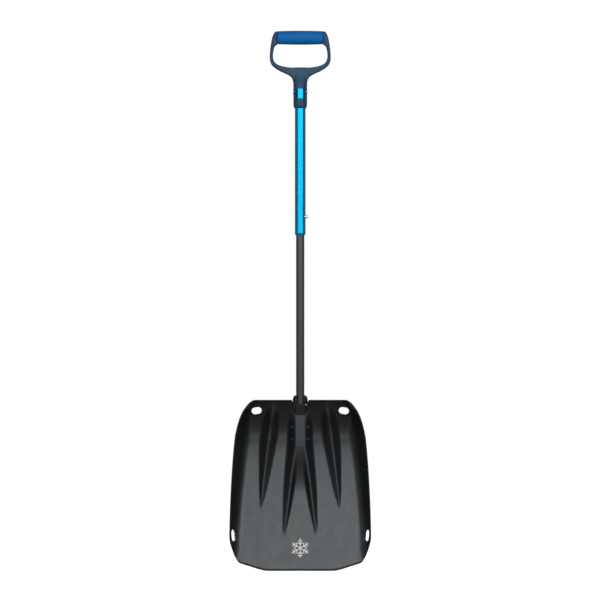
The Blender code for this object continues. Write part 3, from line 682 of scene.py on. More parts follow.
def outer_rib(x, z):
    share = np.clip((z - OUTER_RIB_TIP_Z) / (233 * MM - OUTER_RIB_TIP_Z), 0, 1)
    fade = smooth((z - OUTER_RIB_FADE_Z) / (BLADE_HEIGHT - OUTER_RIB_FADE_Z))
    height = OUTER_RIB_HEIGHT * share**OUTER_RIB_RISE * (1 - fade)
    crest = curve_through(OUTER_RIB_CREST, z)
    edge = np.where(x >= crest, curve_through(OUTER_RIB_OUTSIDE, z), curve_through(OUTER_RIB_INSIDE, z))
    return height * flank((x - crest) / (edge - crest))


def blade_y(x, z):
    """The middle of the sheet's thickness at a half-width x and a height z."""
    rise = (curl(z) ** 4 + wall_depth(x, z) ** 4) ** 0.25
    return scoop_y(z) - rise - inner_rib(x, z) - outer_rib(x, z)


def column_x(lines, shares, z):
    """Half-widths at heights z of columns that lie a share of the way from one line of the pressing to the next."""
    edges = np.stack([np.zeros_like(z)] + [curve_through(line, z) for line in LINES])
    index = np.arange(z.shape[0])[:, None] * 0 + lines[:, None]
    row = np.arange(z.shape[1])[None, :] + 0 * index
    place = np.arange(z.shape[0])[:, None] + 0 * index
    return lerp(edges[index, place, row], edges[index + 1, place, row], shares[:, None])


def blade_sheet():
    """The middle surface of the right half as arrays of x, y and z, one row of each for every column of the grid."""
    lines = np.concatenate([np.full(count, i) for i, count in enumerate(COLUMNS_BETWEEN)] + [[7]])
    shares = np.concatenate([np.arange(count) / count for count in COLUMNS_BETWEEN] + [[1.0]])
    flat = np.ones((len(lines), 1))
    bottom = curve_through(CUTTING_EDGE, column_x(lines, shares, 12 * MM * flat))
    reference = column_x(lines, shares, 290 * MM * flat)
    crest = curve_through(INNER_RIB_CREST, NOTCH_Z)
    top = lerp(NOTCH_Z, BLADE_HEIGHT, smooth((reference - crest) / (NOTCH_HALF - crest)))
    share = 1 - (1 - np.arange(BLADE_ROWS + 1) / BLADE_ROWS) ** ROW_CROWDING
    share = np.concatenate([share[:1], EDGE_ROWS, share[1:]])[None, :]
    z = lerp(bottom, top, share)
    x = column_x(lines, shares, z)
    return x, blade_y(x, z), z


def surface_normals(x, z):
    step = 0.05 * MM
    across = (blade_y(x + step, z) - blade_y(np.abs(x - step), z)) / (2 * step)
    up = (blade_y(x, z + step) - blade_y(x, z - step)) / (2 * step)
    normal = np.stack([across, -np.ones_like(x), up], axis=-1)
    return normal / np.linalg.norm(normal, axis=-1, keepdims=True)


def both_halves(x, y, z):
    """Points, or directions, of the whole width from arrays of the right half's coordinates."""
    return np.stack([np.concatenate([sign * v[:0:-1], v]) for sign, v in ((-1, x), (1, y), (1, z))], axis=-1)


def fine_blade():
    """The sheet as two skins, one on each side of its middle surface, joined by a rounded rim."""
    x, y, z = blade_sheet()
    normal = surface_normals(x, z)
    normal[0, :, 0] = 0
    normal /= np.linalg.norm(normal, axis=-1, keepdims=True)
    middle = both_halves(x, y, z)
    away = both_halves(normal[..., 0], normal[..., 1], normal[..., 2])
    count, rows = middle.shape[:2]
    border = [(0, j) for j in range(rows)] + [(i, rows - 1) for i in range(1, count)]
    border += [(count - 1, j) for j in range(rows - 2, -1, -1)] + [(i, 0) for i in range(count - 2, 0, -1)]
    ring = np.array(border)
    rim, out = middle[ring[:, 0], ring[:, 1]], away[ring[:, 0], ring[:, 1]]
    along = np.roll(rim, -1, axis=0) - np.roll(rim, 1, axis=0)
    outward = np.cross(out, along)
    outward /= np.linalg.norm(outward, axis=-1, keepdims=True)
    half = SHEET / 2
    above_edge = middle[..., 2] - middle[:, :1, 2]
    front = half * lerp(-0.3, 1.0, np.clip(above_edge / EDGE_BEVEL, 0, 1))[..., None]
    skins = [(middle + away * front).reshape(-1, 3), (middle - away * half).reshape(-1, 3)]
    turns = [math.pi * step / 6 for step in range(1, 6)]
    thick = front[ring[:, 0], ring[:, 1]]
    centre, radius = rim + out * (thick - half) / 2, (thick + half) / 2
    arcs = [centre + radius * (math.cos(a) * out + 0.4 * math.sin(a) * outward) for a in turns]
    vertices = np.concatenate(skins + arcs)
    flat = ring[:, 0] * rows + ring[:, 1]
    total, around = count * rows, len(ring)
    loops = [flat] + [2 * total + k * around + np.arange(around) for k in range(len(arcs))] + [flat + total]
    i, j = np.meshgrid(np.arange(count - 1), np.arange(rows - 1), indexing="ij")
    corner = (i * rows + j).ravel()
    front = np.stack([corner, corner + rows, corner + rows + 1, corner + 1], axis=-1)
    faces = [front, front[:, ::-1] + total]
    for low, high in zip(loops, loops[1:]):
        faces.append(np.stack([low, high, np.roll(high, -1), np.roll(low, -1)], axis=-1))
    mesh = mesh_from(vertices, np.concatenate(faces).tolist())
    outward_faces(mesh)
    return mesh


def slot_prism(centre, length, width, half_depth, turn):
    """A prism with round ends, turned by a matrix and put at its centre."""
    a, b = length / 2, width / 2
    outline = rounded([(a, b), (-a, b), (-a, -b), (a, -b)], [b * 0.98] * 4, 12)
    mesh = prism(outline, -half_depth, half_depth)
    mesh.transform(Matrix.Translation(centre) @ turn)
    return mesh


def side_hole_x(y, z):
    """The half-width where the middle of a side wall's sheet is at y and z."""
    low, high = curve_through(WALL_LINE, z), curve_through(RIM, z)
    for _ in range(30):
        middle = (low + high) / 2
        ahead = blade_y(middle, z) > y
        low, high = np.where(ahead, middle, low), np.where(ahead, high, middle)
    return middle


def slot_outline(size, grow, lean):
    """The points of a slot with round ends, grown on all sides and leaning."""
    a, b = size[0] / 2 + grow, size[1] / 2 + grow
    turn = Matrix.Rotation(lean, 2)
    outline = [turn @ Vector(p) for p in rounded([(a, b), (-a, b), (-a, -b), (a, -b)], [b * 0.98] * 4, 14)]
    return np.array([tuple(p) for p in outline])


# A hole's pressed lip in section: millimetres out from the hole's edge, and out from the front of the sheet.
LIP_SECTION = (
    (0.5, -2.2), (0.1, -1.6), (0.0, -0.6), (0.1, 0.3), (0.4, 0.7), (1.0, 0.8), (1.8, 0.5), (2.6, 0.1), (3.0, -0.3),
    (1.6, -0.9), (0.6, -1.6),
)


def hole_lip(size, lean, side, high_on_blade):
    rings = []
    for grow, out in LIP_SECTION:
        if high_on_blade:
            flat = slot_outline(size, grow * MM, lean) + TOP_HOLE
            x, z = flat[:, 0], flat[:, 1]
        else:
            flat = slot_outline(size, SIDE_LIP_SHARE * grow * MM, lean)
            z = SIDE_HOLE[1] + flat[:, 0]
            x = side_hole_x(SIDE_HOLE[0] + flat[:, 1], z)
        middle = np.stack([x, blade_y(x, z), z], axis=-1)
        point = middle + surface_normals(x, z) * (SHEET / 2 + out * MM)
        rings.append(point * (side, 1, 1))
    return loft([[tuple(p) for p in ring] for ring in rings], closed=True)


def joined(meshes):
    """One mesh that holds several."""
    shape = bmesh.new()
    for mesh in meshes:
        shape.from_mesh(mesh)
    return mesh_of(shape)


def make_hole_lips(finish):
    lips = []
    for side in (1, -1):
        lips.append(hole_lip(TOP_HOLE_SIZE, TOP_HOLE_LEAN, side, True))
        lips.append(hole_lip(SIDE_HOLE_SIZE, SIDE_HOLE_LEAN, side, False))
    mesh = joined(lips)
    outward_faces(mesh)
    shade_round(mesh, 60)
    finish_piece("hole_lips", mesh, "blade", [], finish)


def make_blade(finish):
    cutters = []
    facing = Vector((0, -1, 0)).to_track_quat("Z", "Y").to_matrix().to_4x4()
    for side in (1, -1):
        lean = Matrix.Rotation(TOP_HOLE_LEAN * side, 4, "Z")
        centre = (side * TOP_HOLE[0], -20 * MM, TOP_HOLE[1])
        cutters.append(slot_prism(centre, *TOP_HOLE_SIZE, 30 * MM, facing @ lean))
        sideways = Matrix(((0, 0, side, 0), (0, side, 0, 0), (-1, 0, 0, 0), (0, 0, 0, 1)))
        turn = Matrix.Rotation(SIDE_HOLE_LEAN, 4, "X") @ sideways
        cutters.append(slot_prism((side * 122 * MM, *SIDE_HOLE), *SIDE_HOLE_SIZE, 14 * MM, turn))
    mesh = with_cuts(fine_blade(), cutters)
    shade_round(mesh)
    mark_wear_and_painted_highlight(mesh)
    finish_piece("pressed_blade", mesh, "blade", ["blade"], finish)


def mark_wear_and_painted_highlight(mesh):
    """Stores where the blade gets paler scratches: real wear, most at the cutting edge, and a little on the crests of
    the ribs, where it is partly a painted highlight.
    """
    place = np.zeros(len(mesh.vertices) * 3)
    mesh.vertices.foreach_get("co", place)
    x, _, z = np.abs(place.reshape(-1, 3)).T
    edge = np.exp(-(z - curve_through(CUTTING_EDGE, x)) / (9 * MM))
    # The crest share is partly a painted highlight: it pales the scratches along the crest lines, which are bright
    # because they face the light.
    crests = np.zeros_like(x)
    for line, tip in ((INNER_RIB_CREST, INNER_RIB_TIP_Z), (OUTER_RIB_CREST, OUTER_RIB_TIP_Z)):
        near = np.exp(-(((x - curve_through(line, z)) / (1.3 * MM)) ** 2))
        crests = np.maximum(crests, near * smooth((z - tip) / (30 * MM)))
    wear = mesh.attributes.new("wear", "FLOAT", "POINT")
    wear.data.foreach_set("value", np.clip(np.maximum(edge, 0.4 * crests), 0, 1))


def rivet_places():
    """Where each rivet's axis meets the middle of the sheet, and the way out of the hump's flank."""
    x, z = np.full(2, RIVET_X), np.array(RIVET_ROWS)
    places = np.stack([x, blade_y(x, z), z], axis=-1)
    ways = surface_normals(x, z)
    return [(Vector(p * (side, 1, 1)), Vector(w * (side, 1, 1))) for side in (1, -1) for p, w in zip(places, ways)]


def make_rivets(finish):
    """One head, turned once, put at each rivet's place by nodes and faced along its way out."""
    head = SHEET / 2 + 1.5 * GAP
    dome = domed(3.4 * MM, head + 0.25 * MM, 1.25 * MM)
    profile = [(0, -3.6 * MM), (2.0 * MM, -3.6 * MM), (2.0 * MM, head), (3.4 * MM, head), *dome]
    pattern = new_object("rivet_pattern", turned(profile, Matrix.Identity(4), 40))
    places = rivet_places()
    mesh = mesh_from([p for p, _ in places], [])
    facing = mesh.attributes.new("facing", "FLOAT_VECTOR", "POINT")
    for row, (_, way) in zip(facing.data, places):
        row.vector = way
    tree = Tree("rivets_on_points", head=pattern)
    turn = tree.add("FunctionNodeAlignRotationToVector", axis="Z", Vector=tree.named("facing", "FLOAT_VECTOR"))
    source = tree.add("GeometryNodeObjectInfo", Object=tree.given("head"))
    put = tree.add(
        "GeometryNodeInstanceOnPoints",
        Points=tree.given("Geometry"),
        Instance=source.outputs["Geometry"],
        Rotation=turn.outputs["Rotation"],
    )
    mesh = tree.result(put.outputs["Instances"], finish, mesh)
    bpy.data.objects.remove(pattern)
    outward_faces(mesh)
    shade_round(mesh)
    nodes = [f"socket_rivet_{i + 1}" for i in range(4)]
    finish_piece("socket_rivets", mesh, "blade", nodes, finish)


# ---------------------------------------------------------------- snow crystal print


PRINT_Z = 40 * MM
PRINT_RADIUS = 17 * MM
PRINT_THICKNESS = 0.1 * MM


def make_crystal(finish):
    """Six alike arms, each a stem with two pairs of twigs, merged to one shape and laid on the blade."""
    tree = Tree("six_armed_crystal", reach=PRINT_RADIUS, bar=1.7 * MM)
    stem = tree.bar_shape(tree.given("reach"), tree.given("bar"))
    stem = tree.moved(stem, (PRINT_RADIUS / 2, 0, 0), 0)
    pieces = [stem]
    for at, length in ((0.42, 0.34), (0.68, 0.26)):
        for side in (1, -1):
            turn = math.radians(60) * side
            reach = length * PRINT_RADIUS
            middle = (at * PRINT_RADIUS + reach / 2 * math.cos(turn), reach / 2 * math.sin(turn), 0)
            size = tree.maths("MULTIPLY", tree.given("reach"), length)
            pieces.append(tree.moved(tree.bar_shape(size, tree.given("bar")), middle, turn))
    arm = tree.add("GeometryNodeMeshBoolean", operation="UNION", solver="EXACT")
    for piece in pieces:
        tree.link(piece, arm.inputs["Mesh 2"])
    spots = tree.add("GeometryNodePoints", Count=6)
    index = tree.add("GeometryNodeInputIndex").outputs["Index"]
    angle = tree.maths("MULTIPLY", index, math.tau / 6)
    turn = tree.add("FunctionNodeAxisAngleToRotation", Axis=(0, 0, 1), Angle=angle)
    put = tree.add(
        "GeometryNodeInstanceOnPoints",
        Points=spots.outputs[0],
        Instance=arm.outputs["Mesh"],
        Rotation=turn.outputs["Rotation"],
    )
    real = tree.add("GeometryNodeRealizeInstances", Geometry=put.outputs["Instances"])
    whole = tree.add("GeometryNodeMeshBoolean", operation="UNION", solver="EXACT", Self_Intersection=True)
    tree.link(real.outputs["Geometry"], whole.inputs["Mesh 2"])
    mesh = tree.result(whole.outputs["Mesh"], finish)
    turn = Matrix.Rotation(math.radians(90), 2)
    for vert in mesh.vertices:
        x, up = turn @ vert.co.xy
        z = PRINT_Z + up
        lift = SHEET / 2 + 0.02 * MM + vert.co.z + PRINT_THICKNESS / 2
        vert.co = (x, float(blade_y(np.abs(x), z)) - lift, z)
    outward_faces(mesh)
    finish_piece("snow_crystal_print", mesh, "blade", [], finish)


# ---------------------------------------------------------------- socket


def mirrored(right):
    """A closed outline from the (x, y) points in millimetres of its right half, front to back."""
    half = [(x * MM, y * MM) for x, y in right]
    return half + [(-x, y) for x, y in reversed(half)]


def socket_ears():
    """The collar above the neck, rounded in at its top."""
    corners = [(EAR_HALF, 15.8 * MM), (-EAR_HALF, 15.8 * MM), (-EAR_HALF, -11 * MM), (EAR_HALF, -11 * MM)]
    full = rounded(corners, [5 * MM] * 4, 10)
    profile = [(-2, 1.4), (0, 0.3), (1.5, 0)]
    profile += [(4.5 + 8.5 * math.sin(a), 4.6 * (1 - math.cos(a))) for a in np.linspace(0, math.pi / 2, 10)]
    rings = []
    for above, drawn_in in profile:
        narrow, shallow = 1 - drawn_in * MM / EAR_HALF, 1 - drawn_in * MM / SOCKET_BACK_Y
        rings.append([(x * narrow, y * shallow, SOCKET_NECK_Z + above * MM) for x, y in full])
    return loft(rings)


def socket_gusset(side):
    low, top, inner, outer = 255 * MM, 291 * MM, 12 * MM, 25.4 * MM
    corners = [(side * inner, low), (side * outer, low), (side * outer, SOCKET_WING_Z), (side * inner, top)]
    mesh = prism(corners, -7.2 * MM, -4.8 * MM)
    mesh.transform(UPRIGHT)
    return mesh


def ridge_bars(finish):
    """Round bars across the front of the neck, one above the other."""
    count, pitch, lowest = 4, 4 * MM, 281.6 * MM
    tree = Tree("ridges_up_the_neck", count=count, pitch=pitch, radius=0.9 * MM)
    step = tree.add("ShaderNodeCombineXYZ", Z=tree.given("pitch"))
    line = tree.add("GeometryNodeMeshLine", Count=tree.given("count"), Offset=step.outputs["Vector"])
    line.inputs["Start Location"].default_value = (0, -13.3 * MM, lowest)
    across = tree.add("GeometryNodeCurvePrimitiveLine", Start=(-7.4 * MM, 0, 0), End=(7.4 * MM, 0, 0))
    round_section = tree.add("GeometryNodeCurvePrimitiveCircle", Radius=tree.given("radius"), Resolution=20)
    section = round_section.outputs["Curve"]
    bar = tree.add("GeometryNodeCurveToMesh", Curve=across.outputs[0], Profile_Curve=section, Fill_Caps=True)
    put = tree.add("GeometryNodeInstanceOnPoints", Points=line.outputs[0], Instance=bar.outputs["Mesh"])
    return tree.result(put.outputs["Instances"], finish)


def make_socket(finish):
    block = [
        (6.6, -13.4), (9.0, -11.2), (12.4, -6.2), (15.2, -1.2), (17.6, 2.6), (20.5, 4.5),
        (25.8, 4.6), (27, 5.6), (26.2, 7.4), (19, 8.4), (15.4, 10.2), (13.9, 13.6), (12.1, 15.8),
    ]
    neck = [
        (6.6, -13.4), (9.0, -11.2), (10.6, -6.2), (12.0, -1.2), (13.2, 4.4), (13.2, 13.4), (12.5, 15.1), (10.8, 15.8),
    ]
    forms = [
        prism(mirrored(block), SOCKET_FOOT_Z, SOCKET_WING_Z),
        prism(mirrored(neck), SOCKET_WING_Z - 3 * MM, SOCKET_NECK_Z),
        socket_ears(),
        socket_gusset(1),
        socket_gusset(-1),
    ]
    mesh = melted(forms, grain=0.6 * MM, rounds=4, swell=0.1 * MM)
    bore = prism(shaft_outline(LOWER_INSET - 0.35 * MM), LOWER_TUBE_FOOT - 0.4 * MM, 330 * MM)
    cutters = [
        bore,
        rod((0, 0, 210 * MM), (0, 0, 240 * MM), 4 * MM),
        box((-8.2 * MM, -30 * MM, 298.5 * MM), (8.2 * MM, -8.6 * MM, 330 * MM)),
        box((8.9 * MM, -30 * MM, 290 * MM), (30 * MM, 6 * MM, 302.5 * MM)),
        rod((0, 0, BLADE_LOCK_Z), (30 * MM, 0, BLADE_LOCK_Z), LOCK_HOLE_RADIUS, 40),
        box((-9 * MM, -14 * MM, 278.6 * MM), (9 * MM, -12.8 * MM, 297.2 * MM)),
    ]
    for start, way in rivet_places():
        cutters.append(rod(start, start - way * 4.2 * MM, 2.3 * MM, 24))
    mesh = with_cuts(mesh, cutters)
    mesh = with_cuts(mesh, [ridge_bars(finish)], "UNION")
    shade_round(mesh)
    finish_piece("moulded_socket", mesh, "blade", ["blade_socket"], finish)


# ---------------------------------------------------------------- shaft


def shaft_outline(inset=0.0, steps=10):
    """The shaft's section, moved inwards by inset, or outwards where it is negative."""
    across = inset * math.hypot(1, SIDE_LEAN)
    back_y = SHAFT_HALF_DEPTH - inset
    back = SHAFT_BACK_HALF - SIDE_LEAN * inset - across
    front = SHAFT_FRONT_HALF + SIDE_LEAN * inset - across
    corners = [(back, back_y), (-back, back_y), (-front, -back_y), (front, -back_y)]
    return rounded(corners, [max(SHAFT_CORNER - inset, 0.8 * MM)] * 4, steps)


def tube_shell(name, foot, top, inset, roll, finish):
    """A rounded trapezoid swept up the shaft, drawn in over its rolled foot, then given its wall."""
    across = inset * math.hypot(1, SIDE_LEAN)
    tree = Tree(
        name,
        foot=foot,
        top=top,
        front_width=2 * (SHAFT_FRONT_HALF + SIDE_LEAN * inset - across),
        back_width=2 * (SHAFT_BACK_HALF - SIDE_LEAN * inset - across),
        depth=2 * (SHAFT_HALF_DEPTH - inset),
        corner=SHAFT_CORNER - inset,
        roll=roll,
    )
    ends = [tree.add("ShaderNodeCombineXYZ", Z=tree.given(end)).outputs["Vector"] for end in ("foot", "top")]
    line = tree.add("GeometryNodeCurvePrimitiveLine", Start=ends[0], End=ends[1])
    path = tree.add("GeometryNodeResampleCurve", Curve=line.outputs["Curve"], Count=round((top - foot) / (0.5 * MM)))
    section = tree.add(
        "GeometryNodeCurvePrimitiveQuadrilateral",
        mode="TRAPEZOID",
        Height=tree.given("depth"),
        Bottom_Width=tree.given("front_width"),
        Top_Width=tree.given("back_width"),
        Offset=0.0,
    )
    soft = tree.add(
        "GeometryNodeFilletCurve", mode="POLY", Curve=section.outputs["Curve"], Count=12, Radius=tree.given("corner")
    )
    along = tree.maths("DIVIDE", tree.add("GeometryNodeSplineParameter").outputs["Length"], ROLLED_END)
    left = tree.maths("MAXIMUM", tree.maths("SUBTRACT", 1.0, along), 0.0)
    drawn_in = tree.maths("MULTIPLY", tree.given("roll"), tree.maths("POWER", left, 1.8))
    swept = tree.add(
        "GeometryNodeCurveToMesh",
        Curve=path.outputs["Curve"],
        Profile_Curve=soft.outputs["Curve"],
        Scale=tree.maths("SUBTRACT", 1.0, drawn_in),
    )
    mesh = tree.result(swept.outputs["Mesh"], finish)
    shell = new_object(name, mesh)
    wall = shell.modifiers.new("wall", "SOLIDIFY")
    wall.thickness = TUBE_WALL
    wall.offset = -1
    mesh = evaluated_mesh(shell)
    bpy.data.objects.remove(shell)
    return mesh


def lock_hole(z):
    return rod((2 * MM, 0, z), (30 * MM, 0, z), LOCK_HOLE_RADIUS, 40)


def pin_hole():
    return rod((-30 * MM, 0, GRIP_PIN_Z), (30 * MM, 0, GRIP_PIN_Z), GRIP_PIN_RADIUS + GAP, 40)


def make_tubes(lower_finish, upper_finish):
    mesh = tube_shell("lower_shaft_tube", LOWER_TUBE_FOOT, LOWER_TUBE_TOP, LOWER_INSET, 0.0, lower_finish)
    mesh = with_cuts(mesh, [lock_hole(SHAFT_LOCK_Z), lock_hole(BLADE_LOCK_Z)])
    shade_round(mesh)
    finish_piece("lower_shaft_tube", mesh, "lower_shaft", ["lower_tube"], lower_finish)
    mesh = tube_shell("upper_shaft_tube", UPPER_TUBE_FOOT, UPPER_TUBE_TOP, 0.0, ROLL, upper_finish)
    holes = [lock_hole(SHAFT_LOCK_Z), lock_hole(SHAFT_LOCK_Z + TELESCOPE_TRAVEL), pin_hole()]
    mesh = with_cuts(mesh, holes)
    shade_round(mesh)
    finish_piece("upper_shaft_tube", mesh, "handle", ["upper_tube"], upper_finish)


def make_buttons(finish):
    """Flanged pins with domed tips, pointing along +X."""
    for name, z, tip in (
        ("shaft", SHAFT_LOCK_Z, SHAFT_BUTTON_TIP),
        ("blade", BLADE_LOCK_Z, BLADE_BUTTON_TIP),
    ):
        flange = 3.7 * MM
        dome = [
            (BUTTON_RADIUS * math.cos(a), tip - 1.8 * MM * (1 - math.sin(a)))
            for a in np.linspace(0, math.pi / 2, 12)
        ]
        rim = flange + 0.8 * MM
        profile = [(0, flange), (3.8 * MM, flange), (3.8 * MM, rim), (BUTTON_RADIUS, rim)]
        place = Matrix.Translation((0, 0, z)) @ ALONG_X
        mesh = turned(profile + dome, place, 56)
        shade_round(mesh)
        finish_piece(f"{name}_button_pin", mesh, f"{name}_button", [f"{name}_lock_button"], finish)


# ---------------------------------------------------------------- grip


def spline(points, steps):
    """A smooth open line through a few points of the plane, with so many steps from each to the next."""
    line = []
    for i in range(len(points) - 1):
        start, end = Vector(points[i]), Vector(points[i + 1])
        before = Vector(points[i - 1]) if i else 2 * start - end
        after = Vector(points[i + 2]) if i + 2 < len(points) else 2 * end - start
        for step in range(steps):
            t = step / steps
            place = 2 * start + t * (end - before) + t**2 * (2 * before - 5 * start + 4 * end - after)
            line.append((place + t**3 * (3 * start - before - 3 * end + after)) / 2)
    line.append(Vector(points[-1]))
    return [(p.x, p.y) for p in line]


def grip_frame():
    outside = [
        (41.3, 967.2), (45.6, 965.3), (48.6, 959.8), (50.9, 952), (53.6, 935), (54.5, 920), (53.2, 911.5),
        (48.8, 904.6), (38, 897), (24, 890.4), (16.6, 885.6), (13.4, 880), (11.8, 873), (10.4, 866),
    ]
    inside = [
        (41.3, 943.2), (44.6, 942), (47, 938), (48.9, 929.5), (49, 919.5), (46.4, 912.2), (40, 906.8),
        (28, 903.2), (14, 901.6), (0, 901.2),
    ]
    right = spline([(x * MM, z * MM) for x, z in reversed(inside)], 6)[1:]
    right += spline([(x * MM, z * MM) for x, z in outside], 6)
    outline = [(0, inside[-1][1] * MM)] + right + [(-x, z) for x, z in reversed(right)]
    half, edge = 8 * MM, 2.4 * MM
    curve = bpy.data.curves.new("outline", "CURVE")
    curve.dimensions = "2D"
    curve.fill_mode = "BOTH"
    curve.extrude = half - edge
    curve.bevel_depth = edge
    curve.bevel_resolution = 4
    curve.offset = -edge
    line = curve.splines.new("POLY")
    line.points.add(len(outline) - 1)
    for point, place in zip(line.points, outline):
        point.co = (*place, 0, 1)
    line.use_cyclic_u = True
    obj = new_object_of("grip_outline", curve)
    mesh = evaluated_mesh(obj)
    bpy.data.objects.remove(obj)
    outward_faces(mesh)
    mesh.transform(UPRIGHT)
    depths = points_mm((866, 8.5), (885, 8.5), (900, 8.3), (925, 8), (944, 9.2), (957, 9.8), (968, 9.2))
    for vert in mesh.vertices:
        vert.co.y *= float(curve_through(depths, vert.co.z)) / half
    return mesh


def grip_stem():
    """A sleeve on the tube that narrows in depth and widens into the frame."""
    straight = shaft_outline(-STEM_WALL)
    width, depth = max(x for x, _ in straight), SHAFT_HALF_DEPTH + STEM_WALL
    # Half-width and half-depth of the sections above the straight part, over their heights.
    widths = points_mm((868, 12.02), (878, 12.3), (884, 12.6), (890, 12.9), (896, 13), (902, 13))
    depths = points_mm((868, 15.45), (873, 14.9), (878, 13.1), (884, 10.9), (890, 9.2), (896, 8), (902, 6.6))
    rings = [[(x, y, STEM_FOOT) for x, y in shaft_outline(-0.75 * MM)]]
    rings += [[(x, y, z) for x, y in straight] for z in (STEM_FOOT + 5 * MM, 868 * MM)]
    for z in np.linspace(870, 902, 17) * MM:
        across, deep = curve_through(widths, z) / width, curve_through(depths, z) / depth
        rings.append([(x * across, y * deep, z) for x, y in straight])
    return loft(rings)


def bar_end(side):
    """A cone between the end of the sleeve and the frame's arm."""
    start, end = (side * (SLEEVE_HALF + GAP), 0, BAR_Z), (side * 47 * MM, 0, BAR_Z)
    return rod(start, end, 12 * MM, 64, 8.4 * MM)


def make_grip(finish):
    bar = rod((-43 * MM, 0, BAR_Z), (43 * MM, 0, BAR_Z), BAR_RADIUS, 64)
    forms = [grip_frame(), grip_stem(), bar_end(1), bar_end(-1), bar]
    mesh = melted(forms, grain=0.75 * MM, rounds=5, swell=0.32 * MM)
    corners = [(WINDOW_HALF, WINDOW_HIGH), (-WINDOW_HALF, WINDOW_HIGH)]
    corners += [(-x, WINDOW_LOW) for x, _ in corners]
    window = prism(rounded(corners, [3 * MM] * 4), 5 * MM, 30 * MM)
    window.transform(UPRIGHT)
    bore = prism(shaft_outline(-GAP), 820 * MM, UPPER_TUBE_TOP + 0.4 * MM)
    mesh = with_cuts(mesh, [bore, window, pin_hole()])
    shade_round(mesh)
    finish_piece("moulded_grip", mesh, "handle", ["d_grip"], finish)


def make_sleeve(finish):
    """A soft tube on the grip's bar, slightly fuller in its middle, with round lips at its ends."""
    bore, half = BAR_RADIUS + GAP, SLEEVE_HALF
    lip = 1.6 * MM
    body = [(SLEEVE_RADIUS - 0.8 * MM * p**2, p * (half - lip)) for p in np.linspace(-1, 1, 41)]
    end_radius = body[0][0] - lip
    turns = np.linspace(math.pi / 2, 0, 8)
    round_end = [(end_radius + lip * math.sin(a), half - lip + lip * math.cos(a)) for a in turns]
    low_end = [(r, -z) for r, z in reversed(round_end)]
    profile = [(bore, -half), *low_end[:-1], *body, *round_end[1:], (bore, half), (bore, -half)]
    place = Matrix.Translation((0, 0, BAR_Z)) @ ALONG_X
    mesh = turned(profile, place, 96)
    shade_round(mesh, 50)
    finish_piece("soft_sleeve", mesh, "handle", ["grip_sleeve"], finish)


def make_grip_pin(finish):
    """A pin through stem and tube with a domed head at each side."""
    head = 4.2 * MM
    seat = SHAFT_FRONT_HALF + SIDE_LEAN * (head + SHAFT_HALF_DEPTH) + GAP
    seat += STEM_WALL * math.hypot(1, SIDE_LEAN)
    dome = domed(head, seat + 0.2 * MM, 1.2 * MM)
    high = [(GRIP_PIN_RADIUS, seat), (head, seat), *dome]
    profile = [(r, -z) for r, z in reversed(high)] + high
    place = Matrix.Translation((0, 0, GRIP_PIN_Z)) @ ALONG_X
    mesh = turned(profile, place, 48)
    shade_round(mesh)
    finish_piece("stem_pin", mesh, "handle", ["grip_pin"], finish)


# ---------------------------------------------------------------- studio


def make_floor():
    finish = Finish("pale_floor", (0.5, 0.5, 0.5), 0.8, 0.0)
    finish.shader.inputs["Emission Color"].default_value = (1, 1, 1, 1)
    finish.shader.inputs["Emission Strength"].default_value = 0.95
    shape = bmesh.new()
    bmesh.ops.create_circle(shape, cap_ends=True, segments=96, radius=4)
    floor = new_object("studio_floor", mesh_of(shape))
    floor.data.materials.append(finish.made)
    floor.location.z = -0.5 * MM
    floor.visible_glossy = False
    floor.visible_diffuse = False


def make_world():
    """White where the camera sees it, and a low grey that fills the shadows."""
    world = bpy.data.worlds.new("studio")
    world.use_nodes = True
    bpy.context.scene.world = world
    nodes, links = world.node_tree.nodes, world.node_tree.links
    seen, fill = nodes["Background"], nodes.new("ShaderNodeBackground")
    seen.inputs["Color"].default_value = (1, 1, 1, 1)
    fill.inputs["Color"].default_value = (0.2, 0.2, 0.21, 1)
    mix, ray = nodes.new("ShaderNodeMixShader"), nodes.new("ShaderNodeLightPath")
    links.new(ray.outputs["Is Camera Ray"], mix.inputs["Fac"])
    links.new(fill.outputs["Background"], mix.inputs[1])
    links.new(seen.outputs["Background"], mix.inputs[2])
    links.new(mix.outputs["Shader"], nodes["World Output"].inputs["Surface"])


LIT_PLACE = (0, 0, 0.45)
CAMERA_PLACE = (-0.0004, -9, 0.4845)
CAMERA_LENS = 300.5


def softbox(name, place, size, power):
    light = bpy.data.lights.new(name, "AREA")
    light.shape = "RECTANGLE"
    light.size, light.size_y = size
    light.energy = power
    obj = new_object_of(name, light)
    obj.location = place
    obj.rotation_euler = (Vector(LIT_PLACE) - Vector(place)).to_track_quat("-Z", "Y").to_euler()
    obj.visible_camera = False


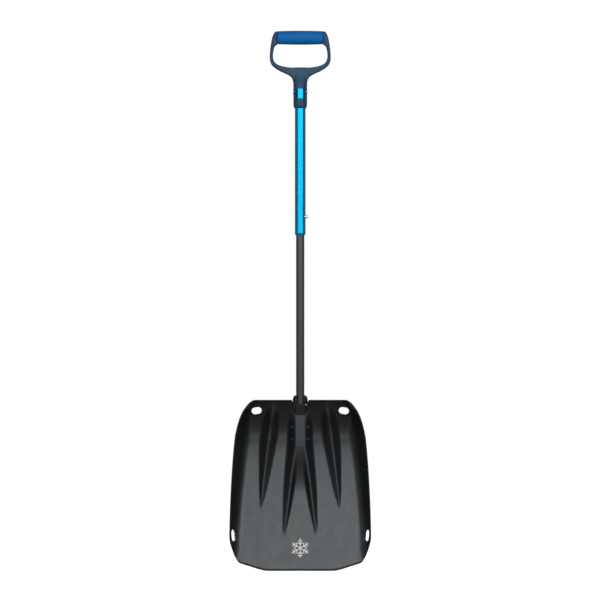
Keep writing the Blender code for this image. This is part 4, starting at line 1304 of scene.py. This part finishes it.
def make_studio():
    make_floor()
    make_world()
    softbox("key_softbox", (0.3, -2.0, 1.35), (1.8, 1.7), 38)
    softbox("back_softbox", (-1.4, 2.4, 3.0), (1.8, 1.8), 14)
    softbox("left_softbox", (-3.0, -1.0, 1.6), (1.0, 1.6), 4)
    camera = new_object_of("camera", bpy.data.cameras.new("camera"))
    camera.location = CAMERA_PLACE
    camera.rotation_euler = (math.pi / 2, 0, 0)
    camera.data.lens = CAMERA_LENS
    camera.data.clip_end = 60
    bpy.context.scene.camera = camera
    bpy.context.scene.view_settings.view_transform = "Standard"


def coat_kept_nodes(looks):
    """Gives every CAD node its slot's finish, also the ones that a finer piece stands for."""
    slots = {row["node"]: row["material_slot"] for row in frame["record"]["subparts"]}
    for name, node in frame["nodes"].items():
        node.data.materials.clear()
        node.data.materials.append(looks[slots[name]])


def main():
    make_studio()
    looks = {
        "blade_anodised": charcoal_anodised(),
        "rivet_black": black_paint(),
        "black_moulding": moulded("black_moulding", (0.01, 0.0095, 0.0095), (0.015, 0.014, 0.014), 0.52, 0.9 * MM, 0.25),
        "grey_anodised": brushed_anodised("grey_anodised", (0.048, 0.045, 0.053), (0.06, 0.056, 0.064), 0.38),
        "blue_anodised": brushed_anodised("blue_anodised", (0.0, 0.27, 0.46), (0.004, 0.32, 0.53), 0.36),
        "navy_nylon": moulded("navy_nylon", (0.018, 0.055, 0.108), (0.025, 0.07, 0.13), 0.46, 0.8 * MM, 0.2),
        "blue_rubber": soft_rubber(),
        "steel": turned_steel("steel", (0.62, 0.62, 0.62), 0.28),
        "spring_steel": turned_steel("spring_steel", (0.3, 0.3, 0.33), 0.35),
    }
    coat_kept_nodes(looks)
    make_blade(looks["blade_anodised"])
    make_hole_lips(looks["blade_anodised"])
    make_crystal(white_print())
    make_rivets(looks["rivet_black"])
    make_socket(looks["black_moulding"])
    make_tubes(looks["grey_anodised"], looks["blue_anodised"])
    make_buttons(looks["steel"])
    make_grip(looks["navy_nylon"])
    make_sleeve(looks["blue_rubber"])
    make_grip_pin(looks["steel"])


main()
